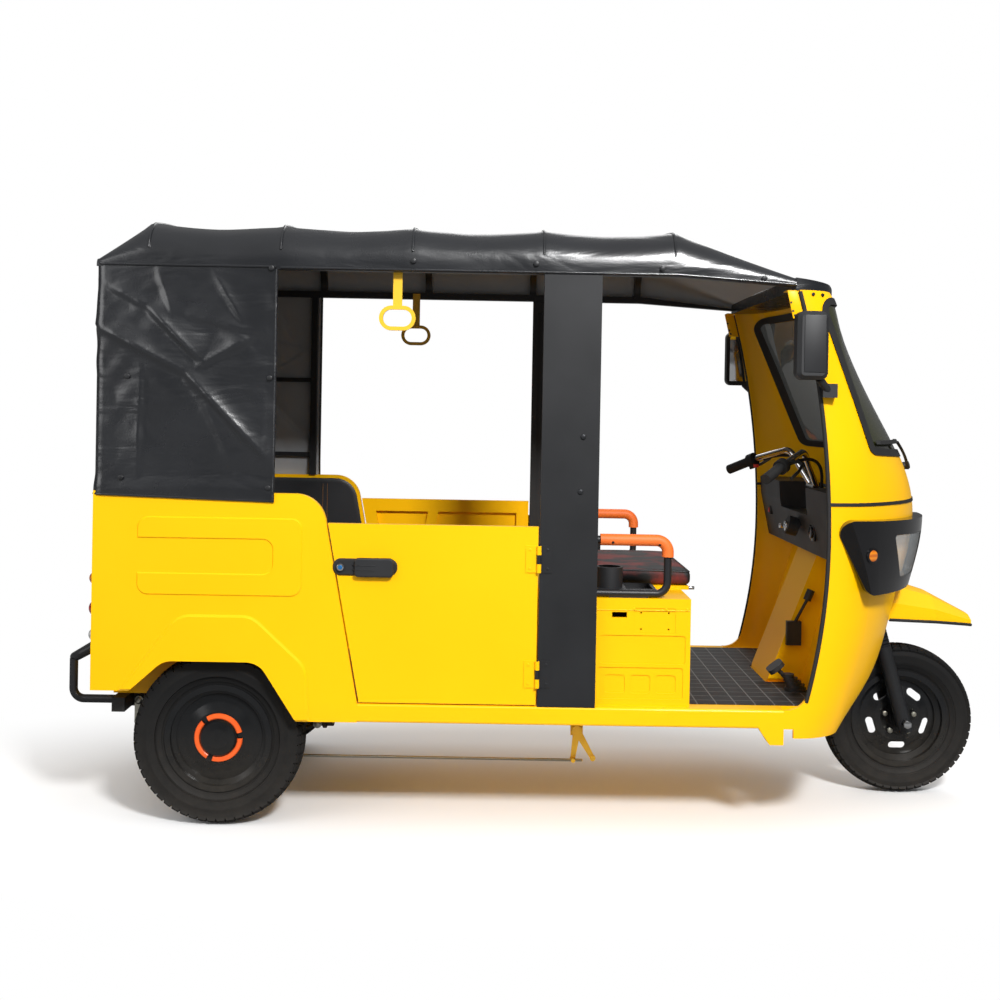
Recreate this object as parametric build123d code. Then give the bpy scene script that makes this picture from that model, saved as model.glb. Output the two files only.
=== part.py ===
from build123d import *
import os
from math import cos, hypot, radians, sin, sqrt

# A battery three-wheeler for passengers: a sheet-metal tub with side doors, a
# wrapped front cowl with a handlebar behind it, and a leatherette canopy on bows.
# Frame: +X forward, +Y to the left, +Z up, on the ground under the middle.
# All sizes are in millimetres. Positions along X start with the wheels.

# Wheels and track
FRONT_AXLE_X = 1246.0
WHEELBASE = 2242.0
REAR_AXLE_X = FRONT_AXLE_X - WHEELBASE
REAR_TRACK = 880.0
FRONT_TYRE_D = 508.0
FRONT_TYRE_WIDTH = 95.0
REAR_TYRE_D = 530.0
REAR_TYRE_WIDTH = 105.0
BEAD_SEAT_D = 304.8
RIM_FLANGE_D = 330.0
RIM_WIDTH = 80.0
RIM_WALL = 5.0
AXLE_D = 16.0
SPINDLE_D = 30.0
RUNNING_CLEARANCE = 0.05
SEAT_GAP = 0.2
SIDE_GAP = 0.3

# Tub
HALF_WIDTH = 529.0
PANEL = 24.0
SKIN_INSIDE = HALF_WIDTH - PANEL
TAIL_X = -1376.0
WAIST_Z = 1025.0
SILL_LOW_Z = 333.0
SILL_HIGH_Z = 390.0
SILL_DEPTH = 59.0
SILL_EDGE_R = 8.0
SILL_FOOT_Z = 284.0
SILL_FRONT_X = 735.0
FLOOR_THICKNESS = 16.0
MAT_THICKNESS = 4.0
RAIL_Y = 300.0
RAIL_SIZE = (44.0, 50.0)

# Rear arch and side door
ARCH_TOP_Z = 512.0
ARCH_HALF_TOP = 144.0
ARCH_HALF_FOOT = 260.0
ARCH_CORNER = 70.0
FLARE_WIDTH = 92.0
FLARE_HEIGHT = 8.0
EMBOSS_HEIGHT = 4.0
DOOR_GAP = 5.0
DOOR_TOP_Z = 937.0
DOOR_REAR_TOP_X = -663.0
DOOR_REAR_LOW_X = -561.0
HINGE_PIN_D = 6.0
HINGE_BARREL_D = 14.0
HINGE_LEAF = (40.0, 3.0, 82.0)
HINGE_BARREL_GAP = 0.3
HINGE_HEIGHTS = (489.0, 839.0)

# Pillars, roof frame and canopy
PILLAR_REAR_X = -18.0
PILLAR_FRONT_X = 158.0
HEM_Z = 1705.0
CROWN_RISE = 167.0
CANOPY_SKIN = 8.0
CANOPY_REAR_BOW_X = -1232.0
CANOPY_FRONT_BOW_X = 392.0
CANOPY_FRONT_X = 748.0
CANOPY_FRONT_HEM_Z = 1682.0
CANOPY_FRONT_RISE = 32.0
CANOPY_TAIL_RISE = 26.0
CURTAIN_FRONT_X = -832.0
VISOR_INSET = 2.0
VISOR_REACH = 52.0
VISOR_TIP = 12.0
BOW_COUNT = 5
ROOF_TUBE = 24.0
RAIL_FRONT = 6.0

# Front cowl
COWL_WALL = 14.0
COWL_LOW_Z = 305.0
COWL_TOP_Z = 1672.0
STRIP_Z = 1020.0
STRIP_GAP = 10.0
OPENING_X = 862.0
OPENING_Z = 900.0
OPENING_UPPER_R = 2930.0
OPENING_LOWER_R = 1980.0
NOSE_CORNER = 0.62
# Plan sections that the cowl is cut from: height, and how far forward the nose reaches there
NOSE_TABLE = (
    (245.0, 955.0),
    (386.0, 1085.0),
    (560.0, 1166.0),
    (760.0, 1219.0),
    (985.0, 1259.0),
    (1140.0, 1219.0),
    (1400.0, 1069.0),
    (1480.0, 1025.0),
    (1700.0, 902.0),
)
WHEEL_ARCH_HALF = 216.0
WHEEL_ARCH_CROWN_HALF = 100.0
WHEEL_ARCH_SHOULDER_Z = 510.0
WHEEL_ARCH_TOP_Z = 640.0
GASKET_WIDTH = 22.0
GASKET_LIP = 4.0
GLASS_INSET = (4.0, 9.0)
LAMP_DEPTH = 22.0
LAMP_BULGE = 28.0
LAMP_INNER_Y = 72.0
LAMP_REAR_TOP = (868.0, 976.0)
LAMP_REAR_LOW = (985.0, 745.0)
BEAK_TIP_X = 1470.0
BEAK_WALL = 5.0

# Steering
RAKE = 16.0
LEG_Y = 80.0
LEG_D = 50.0
LEG_TUBE_D = 30.0
LEG_LENGTH = 265.0
CROWN_LOW = 335.0
CROWN_HIGH = 360.0
STEM_D = 30.0
STEM_TOP = 790.0
HEAD_TUBE_D = 50.0
HEAD_TUBE_SPAN = (CROWN_HIGH + 10.0, 520.0)
BAR_D = 22.0
GRIP_D = 34.0

# Seats and cargo
SEAT_BOX_FRONT_X = 450.0
SEAT_BOX_TOP_Z = 720.0
BENCH_FRONT_X = -690.0
BENCH_TOP_Z = 640.0
BACKREST_TOP_Z = 1150.0
SHEET = 10.0
WHEEL_HOUSE_Y = 352.0
TOE_LOW_X = 880.0
TOE_TOP_X = 1000.0
TUNNEL_HALF = 130.0
TUNNEL_LOW_X = 766.0
DASH_LOW_Z = 830.0
DASH_TOP_Z = 1050.0

PARTS = {}


# Shaping helpers

def block(x, y, z):
    """A box from its (low, high) limits along each axis."""
    limits = (x, y, z)
    centre = [(low + high) / 2 for low, high in limits]
    return Pos(*centre) * Box(*[high - low for low, high in limits])


def polygon(points):
    return make_face(Polyline(*points, close=True))


def side_slab(outline, y_low, y_high):
    """A slab with its outline drawn in X and Z, between two Y values."""
    plane = Plane(origin=(0, y_high, 0), x_dir=(1, 0, 0), z_dir=(0, -1, 0))
    return extrude(plane * outline, amount=y_high - y_low)


def front_slab(outline, x_low, x_high):
    """A slab with its outline drawn in Y and Z, between two X values."""
    plane = Plane(origin=(x_low, 0, 0), x_dir=(0, 1, 0), z_dir=(1, 0, 0))
    return extrude(plane * outline, amount=x_high - x_low)


def rod(start, end, diameter):
    """A round bar between two points."""
    axis = Vector(*end) - Vector(*start)
    return extrude(Plane(origin=start, z_dir=axis) * Circle(diameter / 2), amount=axis.length)


def bent_tube(points, diameter, bend):
    """A round tube along straight runs joined by tangent arcs."""
    path = FilletPolyline(*points, radius=bend)
    return sweep(Plane(origin=path @ 0, z_dir=path % 0) * Circle(diameter / 2), path=path)


def mirrored(shape):
    return mirror(shape, about=Plane.XZ)


def both_sides(shape):
    """A right-hand piece and its left-hand twin, as separate solids."""
    return Compound(children=[*shape.solids(), *mirrored(shape).solids()])


def save(name, shape):
    PARTS[name] = shape


# Wheels, each turned about Y through its own centre

def tyre(outer_d, width):
    """A road tyre: bead, bulging side walls and a rounded tread, as a ring."""
    bead_r = BEAD_SEAT_D / 2 + SEAT_GAP
    tread_r = outer_d / 2
    bead_half = RIM_WIDTH / 2 - RIM_WALL - SEAT_GAP
    half = width / 2
    belly_r = (RIM_FLANGE_D / 2 + tread_r) / 2 + 4
    flange_r = RIM_FLANGE_D / 2 + 3
    crown_half = 0.62 * half
    crown_drop = 6.0
    shoulder_r = tread_r - 20
    right = [(bead_half, bead_r), (bead_half, flange_r), (half, belly_r),
             (0.96 * half, shoulder_r), (crown_half, tread_r - crown_drop), (0, tread_r)]
    left = [(-along, radius) for along, radius in reversed(right[:-1])]
    profile = Plane.YZ * polygon(right + left)
    return revolve(profile, axis=Axis.Y)


def rim_shell(width, disc_y, disc_dish):
    """The rolled rim and its dished disc, before the hub is bored."""
    flange_r = RIM_FLANGE_D / 2
    seat_r = BEAD_SEAT_D / 2
    half = width / 2
    well_r = seat_r - 18
    well_half = half - 22
    outer = [(-half, flange_r), (-half + RIM_WALL, flange_r), (-half + RIM_WALL, seat_r),
             (-well_half - 6, seat_r), (-well_half, well_r), (well_half, well_r),
             (well_half + 6, seat_r), (half - RIM_WALL, seat_r), (half - RIM_WALL, flange_r),
             (half, flange_r)]
    inner = [(half, seat_r - RIM_WALL), (well_half + 3, seat_r - RIM_WALL),
             (well_half - 3, well_r - RIM_WALL), (-well_half + 3, well_r - RIM_WALL),
             (-well_half - 3, seat_r - RIM_WALL), (-half, seat_r - RIM_WALL)]
    barrel = revolve(Plane.YZ * polygon(outer + inner), axis=Axis.Y)
    edge_r = well_r - 2
    disc = polygon([(disc_y, 0), (disc_y - disc_dish, 62), (disc_y - disc_dish, 78),
                    (disc_y, 108), (disc_y + 4, edge_r), (disc_y - 3, edge_r),
                    (disc_y - 7, 108), (disc_y - disc_dish - 7, 80),
                    (disc_y - disc_dish - 7, 60), (disc_y - 7, 0)])
    return barrel + revolve(Plane.YZ * disc, axis=Axis.Y)


def front_rim():
    """A pressed steel wheel with five oval windows and a long hub."""
    hub_half = LEG_Y - LEG_D / 2 - 12
    windows_r = 96.0
    wheel = rim_shell(RIM_WIDTH, -4, 10)
    for turn in range(5):
        oval = Plane.XZ * Pos(0, windows_r) * SlotOverall(58, 24)
        cut = extrude(oval, amount=RIM_WIDTH, both=True)
        wheel -= Rot(0, 72 * turn + 36, 0) * cut
    hub = Rot(90, 0, 0) * Cylinder(30, 2 * hub_half)
    drum = Pos(0, 22, 0) * Rot(90, 0, 0) * Cylinder(68, 24)
    bore = Rot(90, 0, 0) * Cylinder(AXLE_D / 2 + RUNNING_CLEARANCE, 4 * hub_half)
    return wheel + hub + drum - bore


def rear_rim():
    """A closed steel wheel: the hub is bored for the spindle and stops at the disc."""
    wheel = rim_shell(RIM_WIDTH, -14, 8)
    hub = Pos(0, 16, 0) * Rot(90, 0, 0) * Cylinder(52, 64)
    bore = Pos(0, 18, 0) * Rot(90, 0, 0) * Cylinder(SPINDLE_D / 2 + RUNNING_CLEARANCE, 64)
    bolts = [Pos(42 * cos(radians(60 * turn)), -24, 42 * sin(radians(60 * turn)))
             * Rot(90, 0, 0) * Cylinder(6, 12) for turn in range(6)]
    return wheel + hub + bolts - bore


def hub_cap():
    """A shallow dome with a raised rim over the middle of a rear wheel."""
    dome = polygon([(-48, 0), (-47, 30), (-43, 52), (-36, 58), (-30.2, 58), (-30.2, 0)])
    return revolve(Plane.YZ * dome, axis=Axis.Y)


# Steering, drawn in the frame of the raked steering axis, which passes through the axle

STEER = Plane(origin=(FRONT_AXLE_X, 0, FRONT_TYRE_D / 2),
              x_dir=(cos(radians(RAKE)), 0, sin(radians(RAKE))),
              z_dir=(-sin(radians(RAKE)), 0, cos(radians(RAKE))))


def steer_drum(diameter, low, high, x=0.0, y=0.0):
    """A cylinder along the steering axis between two distances from the axle."""
    return STEER * Pos(x, y, (low + high) / 2) * Cylinder(diameter / 2, high - low)


def fork():
    """Two sliders with axle lugs, their tubes, the crown and the steering stem."""
    shape = steer_drum(STEM_D, CROWN_HIGH, STEM_TOP)
    shape += STEER * Pos(0, 0, (CROWN_LOW + CROWN_HIGH) / 2) * fillet(
        Box(58, 2 * LEG_Y + 50, CROWN_HIGH - CROWN_LOW).edges().filter_by(Axis.Z), 24)
    for y in (-LEG_Y, LEG_Y):
        shape += steer_drum(LEG_D, -LEG_D / 2 - 8, LEG_LENGTH, y=y)
        shape += steer_drum(LEG_TUBE_D, LEG_LENGTH - 1, CROWN_LOW + 1, y=y)
    leg_out = LEG_Y + LEG_D / 2
    axle_z = FRONT_TYRE_D / 2
    # Reach of each bar across the wheel's centre: from, to and diameter
    for start, end, diameter in ((-leg_out - 14, leg_out + 14, AXLE_D), (-leg_out - 8, -leg_out + 6, 26.0),
                                 (leg_out - 6, leg_out + 8, 26.0)):
        shape += rod((FRONT_AXLE_X, start, axle_z), (FRONT_AXLE_X, end, axle_z), diameter)
    return shape


def fork_springs():
    """The exposed coils above the sliders, as stacked rounded rings round each tube."""
    wire = 9.0
    pitch = (CROWN_LOW - LEG_LENGTH - wire) / 5
    rings = []
    for y in (-LEG_Y, LEG_Y):
        stack = steer_drum(LEG_TUBE_D + 5, LEG_LENGTH + SEAT_GAP, CROWN_LOW - SEAT_GAP, y=y)
        for turn in range(6):
            low = LEG_LENGTH + SEAT_GAP + turn * pitch
            stack += steer_drum(LEG_D - 2, low, low + wire - 2 * SEAT_GAP, y=y)
        rings.append(stack - steer_drum(LEG_TUBE_D + 2 * SEAT_GAP, LEG_LENGTH, CROWN_LOW, y=y))
    return Compound(children=[solid for ring in rings for solid in ring.solids()])


# Handlebar half, from the clamp to the outer end: a run of points on the left side
BAR_POINTS = ((950.0, 34.0, 1040.0), (884.0, 104.0, 1168.0), (800.0, 214.0, 1132.0), (715.0, 310.0, 1084.0))
BAR_BENDS = (34.0, 60.0)


def bar_run(side):
    return bent_tube([(x, side * y, z) for x, y, z in BAR_POINTS], BAR_D, BAR_BENDS)


def handlebar():
    """Two raised bars that meet in a clamp block on top of the stem."""
    inner = BAR_POINTS[0]
    shape = rod((inner[0], -inner[1] - 14, inner[2]), (inner[0], inner[1] + 14, inner[2]), 40)
    stem_top = STEER.from_local_coords(Vector(0, 0, STEM_TOP + SEAT_GAP))
    shape += steer_drum(46, STEM_TOP + SEAT_GAP, STEM_TOP + 34)
    shape += rod((stem_top.X + 2, 0, stem_top.Z + 18), (inner[0], 0, inner[2]), 34)
    return shape + bar_run(1) + bar_run(-1)


def along(start, end, distance):
    """The point at a distance from the second point back towards the first."""
    run = Vector(*start) - Vector(*end)
    return tuple(Vector(*end) + run * (distance / run.length))


def handlebar_grips():
    """Rubber grips with closed ends, and a switch pod inboard of each."""
    pieces = []
    for side in (-1, 1):
        inner, outer = [(x, side * y, z) for x, y, z in BAR_POINTS[-2:]]
        beyond = along(inner, outer, -6)
        grip_end = along(inner, outer, 92)
        pod_end = along(inner, outer, 118)
        grip = rod(beyond, grip_end, GRIP_D) + rod(grip_end, pod_end, GRIP_D + 16)
        bar = rod(along(inner, outer, -SEAT_GAP), along(inner, outer, 126), BAR_D + 2 * SEAT_GAP)
        pieces += (grip - bar).solids()
    return Compound(children=pieces)


# Front cowl: plan sections of straight sides, two corner arcs and a front arc

def opening_x(z):
    """How far forward the edge of the driver's doorway lies at a height."""
    radius = OPENING_UPPER_R if z > OPENING_Z else OPENING_LOWER_R
    return OPENING_X - radius + sqrt(radius**2 - (z - OPENING_Z)**2)


def nose_section(z, nose_x, inset):
    edge = opening_x(z)
    depth = nose_x - edge
    corner = NOSE_CORNER * depth
    front = (depth**2 + HALF_WIDTH**2 - 2 * HALF_WIDTH * corner) / (2 * (depth - corner))
    to_corner = Vector(front - depth, HALF_WIDTH - corner).normalized()
    front_centre = Vector(nose_x - front, 0)
    corner_centre = Vector(edge, HALF_WIDTH - corner)
    meet = front_centre + to_corner * (front - inset)
    bulge = corner_centre + (to_corner + Vector(0, 1)).normalized() * (corner - inset)
    side_y = HALF_WIDTH - inset
    back = edge - 140 - inset

    def flip(point):
        return (point.X, -point.Y)

    start = (edge, side_y)
    lines = [Line((back, side_y), start),
             ThreePointArc(start, (bulge.X, bulge.Y), (meet.X, meet.Y)),
             ThreePointArc((meet.X, meet.Y), (nose_x - inset, 0), flip(meet)),
             ThreePointArc(flip(meet), flip(bulge), (edge, -side_y)),
             Line((edge, -side_y), (back, -side_y)),
             Line((back, -side_y), (back, side_y))]
    return Pos(0, 0, z) * make_face(lines)


NOSE_SOLIDS = {}


def nose_solid(inset):
    """The filled form of the cowl, shrunk by an inset or grown by a negative one."""
    if inset not in NOSE_SOLIDS:
        NOSE_SOLIDS[inset] = loft([nose_section(z, nose_x, inset) for z, nose_x in NOSE_TABLE])
    return NOSE_SOLIDS[inset]


def nose_layer(outer, inner):
    return nose_solid(outer) - nose_solid(inner)


def doorway():
    """The space behind the cowl's rear edge, with its rounded foot, across the whole width."""
    top_z = COWL_TOP_Z + 30
    back_x = opening_x(top_z) - 160
    foot_r = 70.0
    low, high = opening_x(SILL_HIGH_Z), opening_x(top_z)
    lower_z = (SILL_HIGH_Z + OPENING_Z) / 2
    upper_z = (top_z + OPENING_Z) / 2
    lines = [Line((back_x, SILL_HIGH_Z), (low, SILL_HIGH_Z)),
             ThreePointArc((low, SILL_HIGH_Z), (opening_x(lower_z), lower_z), (OPENING_X, OPENING_Z)),
             ThreePointArc((OPENING_X, OPENING_Z), (opening_x(upper_z), upper_z), (high, top_z)),
             Line((high, top_z), (back_x, top_z)),
             Line((back_x, top_z), (back_x, SILL_HIGH_Z))]
    face = make_face(lines)
    corner = face.vertices().sort_by_distance((low, SILL_HIGH_Z))[0]
    return side_slab(fillet(corner, foot_r), -2 * HALF_WIDTH, 2 * HALF_WIDTH)


def window_outline(inset):
    """Side outline of the windscreen's edge; it runs on past the front of the nose."""
    past_x = 1500.0
    face = polygon([(812, 1655), (1006, 1172), (past_x, 1138), (past_x, 1655)])
    rounded = fillet(face.vertices().sort_by(Axis.X)[:2], 40)
    return offset(rounded, amount=-inset, kind=Kind.ARC) if inset else rounded


def window_slab(inset):
    return side_slab(window_outline(inset), -2 * HALF_WIDTH, 2 * HALF_WIDTH)


def wheel_arch():
    """The opening round the front wheel, seen from ahead."""
    half, crown = WHEEL_ARCH_HALF, WHEEL_ARCH_CROWN_HALF
    low = COWL_LOW_Z - 60
    face = polygon([(-half, low), (half, low), (half, WHEEL_ARCH_SHOULDER_Z), (crown, WHEEL_ARCH_TOP_Z),
                    (-crown, WHEEL_ARCH_TOP_Z), (-half, WHEEL_ARCH_SHOULDER_Z)])
    upper = [corner for corner in face.vertices() if corner.Y > low + 1]
    return front_slab(fillet(upper, 60), OPENING_X - 40, BEAK_TIP_X)


def cowl_shell():
    wall = nose_layer(0, COWL_WALL) - doorway()
    sill_end = block((0, SILL_FRONT_X), (-2 * HALF_WIDTH, 2 * HALF_WIDTH), (0, SILL_HIGH_Z))
    step_x = SILL_FRONT_X + 30
    step = block((0, step_x), (-2 * HALF_WIDTH, 2 * HALF_WIDTH), (0, SILL_LOW_Z))
    return wall - sill_end - step


def add_cowl():
    shell = cowl_shell()
    wide = (-2 * HALF_WIDTH, 2 * HALF_WIDTH)
    length = (0, 2000)
    lower = shell & block(length, wide, (COWL_LOW_Z, STRIP_Z - STRIP_GAP / 2))
    upper = shell & block(length, wide, (STRIP_Z + STRIP_GAP / 2, COWL_TOP_Z))
    save("front_cowl_lower", lower - wheel_arch())
    save("front_cowl_upper", upper - window_slab(0))
    strip = nose_layer(-3, COWL_WALL) - doorway()
    save("cowl_strip", strip & block(length, wide, (STRIP_Z - STRIP_GAP / 2, STRIP_Z + STRIP_GAP / 2)))
    above = block(length, wide, (STRIP_Z, COWL_TOP_Z))
    ring = window_slab(0) - window_slab(GASKET_WIDTH)
    save("windscreen_gasket", nose_layer(-GASKET_LIP, COWL_WALL + GASKET_LIP) & ring & above)
    save("windscreen", nose_layer(*GLASS_INSET) & window_slab(GASKET_WIDTH) & above)


# Tub: panels, floor and frame. Right-hand pieces are drawn at negative Y

FLOOR_Z = SILL_HIGH_Z - FLOOR_THICKNESS
DOOR_LOW_Z = SILL_HIGH_Z + DOOR_GAP
ARCH_X = REAR_AXLE_X - 14
TAIL_LOW_Z = 418.0
PANEL_FRONT_X = DOOR_REAR_LOW_X - DOOR_GAP
DOOR_SLANT = (DOOR_REAR_TOP_X - DOOR_REAR_LOW_X) / (DOOR_TOP_Z - DOOR_LOW_Z)


def door_edge_x(z, gap):
    """The slanted rear edge of the door, moved back by a gap."""
    return DOOR_REAR_LOW_X + DOOR_SLANT * (z - DOOR_LOW_Z) - gap


def quarter_outline(shrink):
    """Side outline of the tub behind the door, from the waist to the sill, without the arch."""
    top_x = door_edge_x(WAIST_Z, DOOR_GAP)
    face = polygon([(TAIL_X, TAIL_LOW_Z), (ARCH_X - ARCH_HALF_FOOT + 20, TAIL_LOW_Z),
                    (ARCH_X - ARCH_HALF_FOOT + 20, SILL_LOW_Z), (PANEL_FRONT_X, SILL_LOW_Z),
                    (PANEL_FRONT_X, SILL_HIGH_Z), (top_x, WAIST_Z), (TAIL_X, WAIST_Z)])
    top_corner = face.vertices().sort_by_distance((top_x, WAIST_Z))[0]
    rounded = fillet(top_corner, 95)
    return offset(rounded, amount=-shrink) if shrink else rounded


def arch_outline():
    low = SILL_LOW_Z - 40
    face = polygon([(ARCH_X - ARCH_HALF_FOOT, low), (ARCH_X - ARCH_HALF_FOOT, TAIL_LOW_Z - 10),
                    (ARCH_X - ARCH_HALF_TOP, ARCH_TOP_Z), (ARCH_X + ARCH_HALF_TOP, ARCH_TOP_Z),
                    (ARCH_X + ARCH_HALF_FOOT, SILL_LOW_Z), (ARCH_X + ARCH_HALF_FOOT, low)])
    top_corners = [corner for corner in face.vertices() if corner.Y > ARCH_TOP_Z - 1]
    return fillet(top_corners, ARCH_CORNER)


def flare_outline():
    """The swelling round the rear arch: a broad band with a soft crease above it."""
    rise = ARCH_TOP_Z + FLARE_WIDTH + 50
    face = polygon([(ARCH_X - ARCH_HALF_FOOT - 24, TAIL_LOW_Z), (ARCH_X - 104, rise), (ARCH_X + 122, rise),
                    (ARCH_X + ARCH_HALF_FOOT + 30, SILL_HIGH_Z + 110),
                    (ARCH_X + ARCH_HALF_FOOT + 40, SILL_LOW_Z), (ARCH_X, SILL_LOW_Z),
                    (ARCH_X, TAIL_LOW_Z)])
    crease = [corner for corner in face.vertices() if corner.Y > SILL_HIGH_Z + 100]
    return fillet(crease, 80)


def emboss_outline():
    """A pressed rib like a U on its side, open towards the tail."""
    outer = Pos(-990, 831) * RectangleRounded(500, 238, 34)
    inner = Pos(-1110, 832) * RectangleRounded(560, 104, 30)
    return outer - inner


def quarter_panel():
    panel = side_slab(quarter_outline(0), -HALF_WIDTH, -SKIN_INSIDE)
    flare = side_slab(flare_outline(), -HALF_WIDTH - FLARE_HEIGHT, -HALF_WIDTH)
    flare = chamfer(flare.faces().sort_by(Axis.Y)[0].edges(), FLARE_HEIGHT - 1)
    rib = side_slab(emboss_outline(), -HALF_WIDTH - EMBOSS_HEIGHT, -HALF_WIDTH)
    rib = chamfer(rib.faces().sort_by(Axis.Y)[0].edges(), EMBOSS_HEIGHT - 0.5)
    arch = side_slab(arch_outline(), -2 * HALF_WIDTH, 0)
    return panel + flare + rib - arch


def quarter_lining():
    """A padded vinyl board inside the upper part of the quarter panel."""
    board = side_slab(quarter_outline(12), -SKIN_INSIDE + SIDE_GAP, -SKIN_INSIDE + 6)
    upper = block((TAIL_X + PANEL + 1, 0), (-HALF_WIDTH, 0), (BENCH_TOP_Z + 1, WAIST_Z))
    return board & upper


def door_hinge(z):
    """One butt hinge on the outer skin: what rides on the door, and what stays on the pillar."""
    leaf_x, leaf_y, leaf_z = HINGE_LEAF
    axis_x = PILLAR_REAR_X - DOOR_GAP / 2
    axis_y = -HALF_WIDTH - HINGE_BARREL_D / 2 - SIDE_GAP
    third = leaf_z / 3
    low = z - leaf_z / 2

    def barrel(start, end, diameter):
        return rod((axis_x, axis_y, start), (axis_x, axis_y, end), diameter)

    leaf_skin = (-HALF_WIDTH - leaf_y, -HALF_WIDTH)
    door = block((axis_x - leaf_x, axis_x), leaf_skin, (low, low + leaf_z))
    pillar = block((axis_x, axis_x + leaf_x), leaf_skin, (low, low + leaf_z))
    relief = HINGE_BARREL_D + 1.2
    middle = (low + third, low + 2 * third)
    door -= barrel(middle[0], middle[1], relief)
    door -= block((axis_x - DOOR_GAP / 2, axis_x), leaf_skin, middle)
    for start in (low, low + 2 * third):
        pillar -= barrel(start, start + third, relief)
        pillar -= block((axis_x, axis_x + DOOR_GAP / 2), leaf_skin, (start, start + third))
        door += barrel(start + HINGE_BARREL_GAP, start + third - HINGE_BARREL_GAP, HINGE_BARREL_D)
    pillar += barrel(middle[0] + HINGE_BARREL_GAP, middle[1] - HINGE_BARREL_GAP, HINGE_BARREL_D)
    pillar += barrel(low - 2, low + leaf_z + 2, HINGE_PIN_D)
    door -= barrel(low - 3, low + leaf_z + 3, HINGE_PIN_D + 2 * RUNNING_CLEARANCE)
    return door, pillar


def side_door():
    """A pressed door: outer skin, a frame inside it and the hinge leaves."""
    front_x = PILLAR_REAR_X - DOOR_GAP
    outline = polygon([(DOOR_REAR_LOW_X, DOOR_LOW_Z), (front_x, DOOR_LOW_Z), (front_x, DOOR_TOP_Z),
                       (DOOR_REAR_TOP_X, DOOR_TOP_Z)])
    door = side_slab(outline, -HALF_WIDTH, -SKIN_INSIDE)
    pocket = offset(outline, amount=-46)
    brace = polygon([(-500, DOOR_LOW_Z), (-460, DOOR_LOW_Z), (-360, DOOR_TOP_Z), (-400, DOOR_TOP_Z)])
    door -= side_slab(pocket - brace, -HALF_WIDTH + 7, 0)
    for z in HINGE_HEIGHTS:
        door += door_hinge(z)[0]
    return door


def door_handle():
    """A black paddle handle in a shallow bowl, with a lock barrel at its rear end."""
    skin = -HALF_WIDTH
    bowl = side_slab(Pos(-548, 806) * RectangleRounded(196, 52, 24), skin - 7, skin)
    bowl = chamfer(bowl.faces().sort_by(Axis.Y)[0].edges(), 5)
    paddle = side_slab(Pos(-520, 806) * RectangleRounded(118, 58, 12), skin - 20, skin - 7)
    paddle = fillet(paddle.faces().sort_by(Axis.Y)[0].edges(), 5)
    lock = rod((-622, skin - 7, 806), (-622, skin - 13, 806), 26)
    return bowl + paddle + lock


def b_pillar():
    """The broad black post behind the driver, with its half of the door hinges."""
    post = block((PILLAR_REAR_X, PILLAR_FRONT_X), (-HALF_WIDTH, -SKIN_INSIDE), (SILL_HIGH_Z, HEM_Z))
    hollow_z = (SILL_HIGH_Z + 40, HEM_Z - 40)
    post -= block((PILLAR_REAR_X + 20, PILLAR_FRONT_X - 20), (-HALF_WIDTH + 6, 0), hollow_z)
    for z in HINGE_HEIGHTS:
        post += door_hinge(z)[1]
    return post


def side_sill():
    sill_in = HALF_WIDTH - SILL_DEPTH
    sill = block((PANEL_FRONT_X, SILL_FRONT_X), (-HALF_WIDTH, -sill_in), (SILL_LOW_Z, SILL_HIGH_Z))
    sill = fillet(sill.edges().filter_by(Axis.X).group_by(Axis.Y)[0], SILL_EDGE_R)
    foot = polygon([(SILL_FRONT_X - 80, SILL_LOW_Z + SILL_EDGE_R), (SILL_FRONT_X - 42, SILL_FOOT_Z),
                    (SILL_FRONT_X, SILL_FOOT_Z), (SILL_FRONT_X, SILL_LOW_Z + SILL_EDGE_R)])
    return sill + side_slab(foot, -HALF_WIDTH, -sill_in)


def add_tub():
    quarter = quarter_panel()
    save("quarter_panels", both_sides(quarter))
    save("quarter_linings", both_sides(quarter_lining()))
    tail = block((TAIL_X, TAIL_X + PANEL), (-SKIN_INSIDE, SKIN_INSIDE), (TAIL_LOW_Z, WAIST_Z))
    swage = block((TAIL_X - 5, TAIL_X), (-300, 300), (640, 860))
    swage = chamfer(swage.faces().sort_by(Axis.X)[0].edges(), 4)
    save("tail_panel", tail + swage)
    save("side_sills", both_sides(side_sill()))
    door = side_door()
    save("door_right", door)
    save("door_left", mirrored(door))
    save("door_handle_right", door_handle())
    save("door_handle_left", mirrored(door_handle()))
    save("b_pillars", both_sides(b_pillar()))
    sill_in = HALF_WIDTH - SILL_DEPTH
    wide = block((BENCH_FRONT_X - SHEET, TOE_LOW_X), (-sill_in, sill_in), (FLOOR_Z, SILL_HIGH_Z))
    narrow = block((TAIL_X + PANEL, BENCH_FRONT_X), (-WHEEL_HOUSE_Y, WHEEL_HOUSE_Y), (FLOOR_Z, SILL_HIGH_Z))
    save("floor_pan", wide + narrow)
    mat_z = (SILL_HIGH_Z, SILL_HIGH_Z + MAT_THICKNESS)
    rear_mat = block((BENCH_FRONT_X + 6, -30), (-sill_in + 6, sill_in - 6), mat_z)
    front_mat = block((SEAT_BOX_FRONT_X + 6, TOE_LOW_X - 6), (-sill_in + 6, sill_in - 6), mat_z)
    tunnel_space = block((TUNNEL_LOW_X - 4, TOE_LOW_X), (-TUNNEL_HALF - 4, TUNNEL_HALF + 4), mat_z)
    save("floor_mats", Compound(children=[*rear_mat.solids(), *(front_mat - tunnel_space).solids()]))


# Frame under the floor, springs, axle and brake linkage

RAIL_LOW_Z = FLOOR_Z - RAIL_SIZE[1]
SPRING_HALF = 285.0
SPRING_EYE_Z = 276.0
SPRING_TOP_Z = 222.0
SPRING_EYE_D = 26.0
LEAF = 8.0
LEAF_WIDTH = RAIL_SIZE[0]
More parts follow.
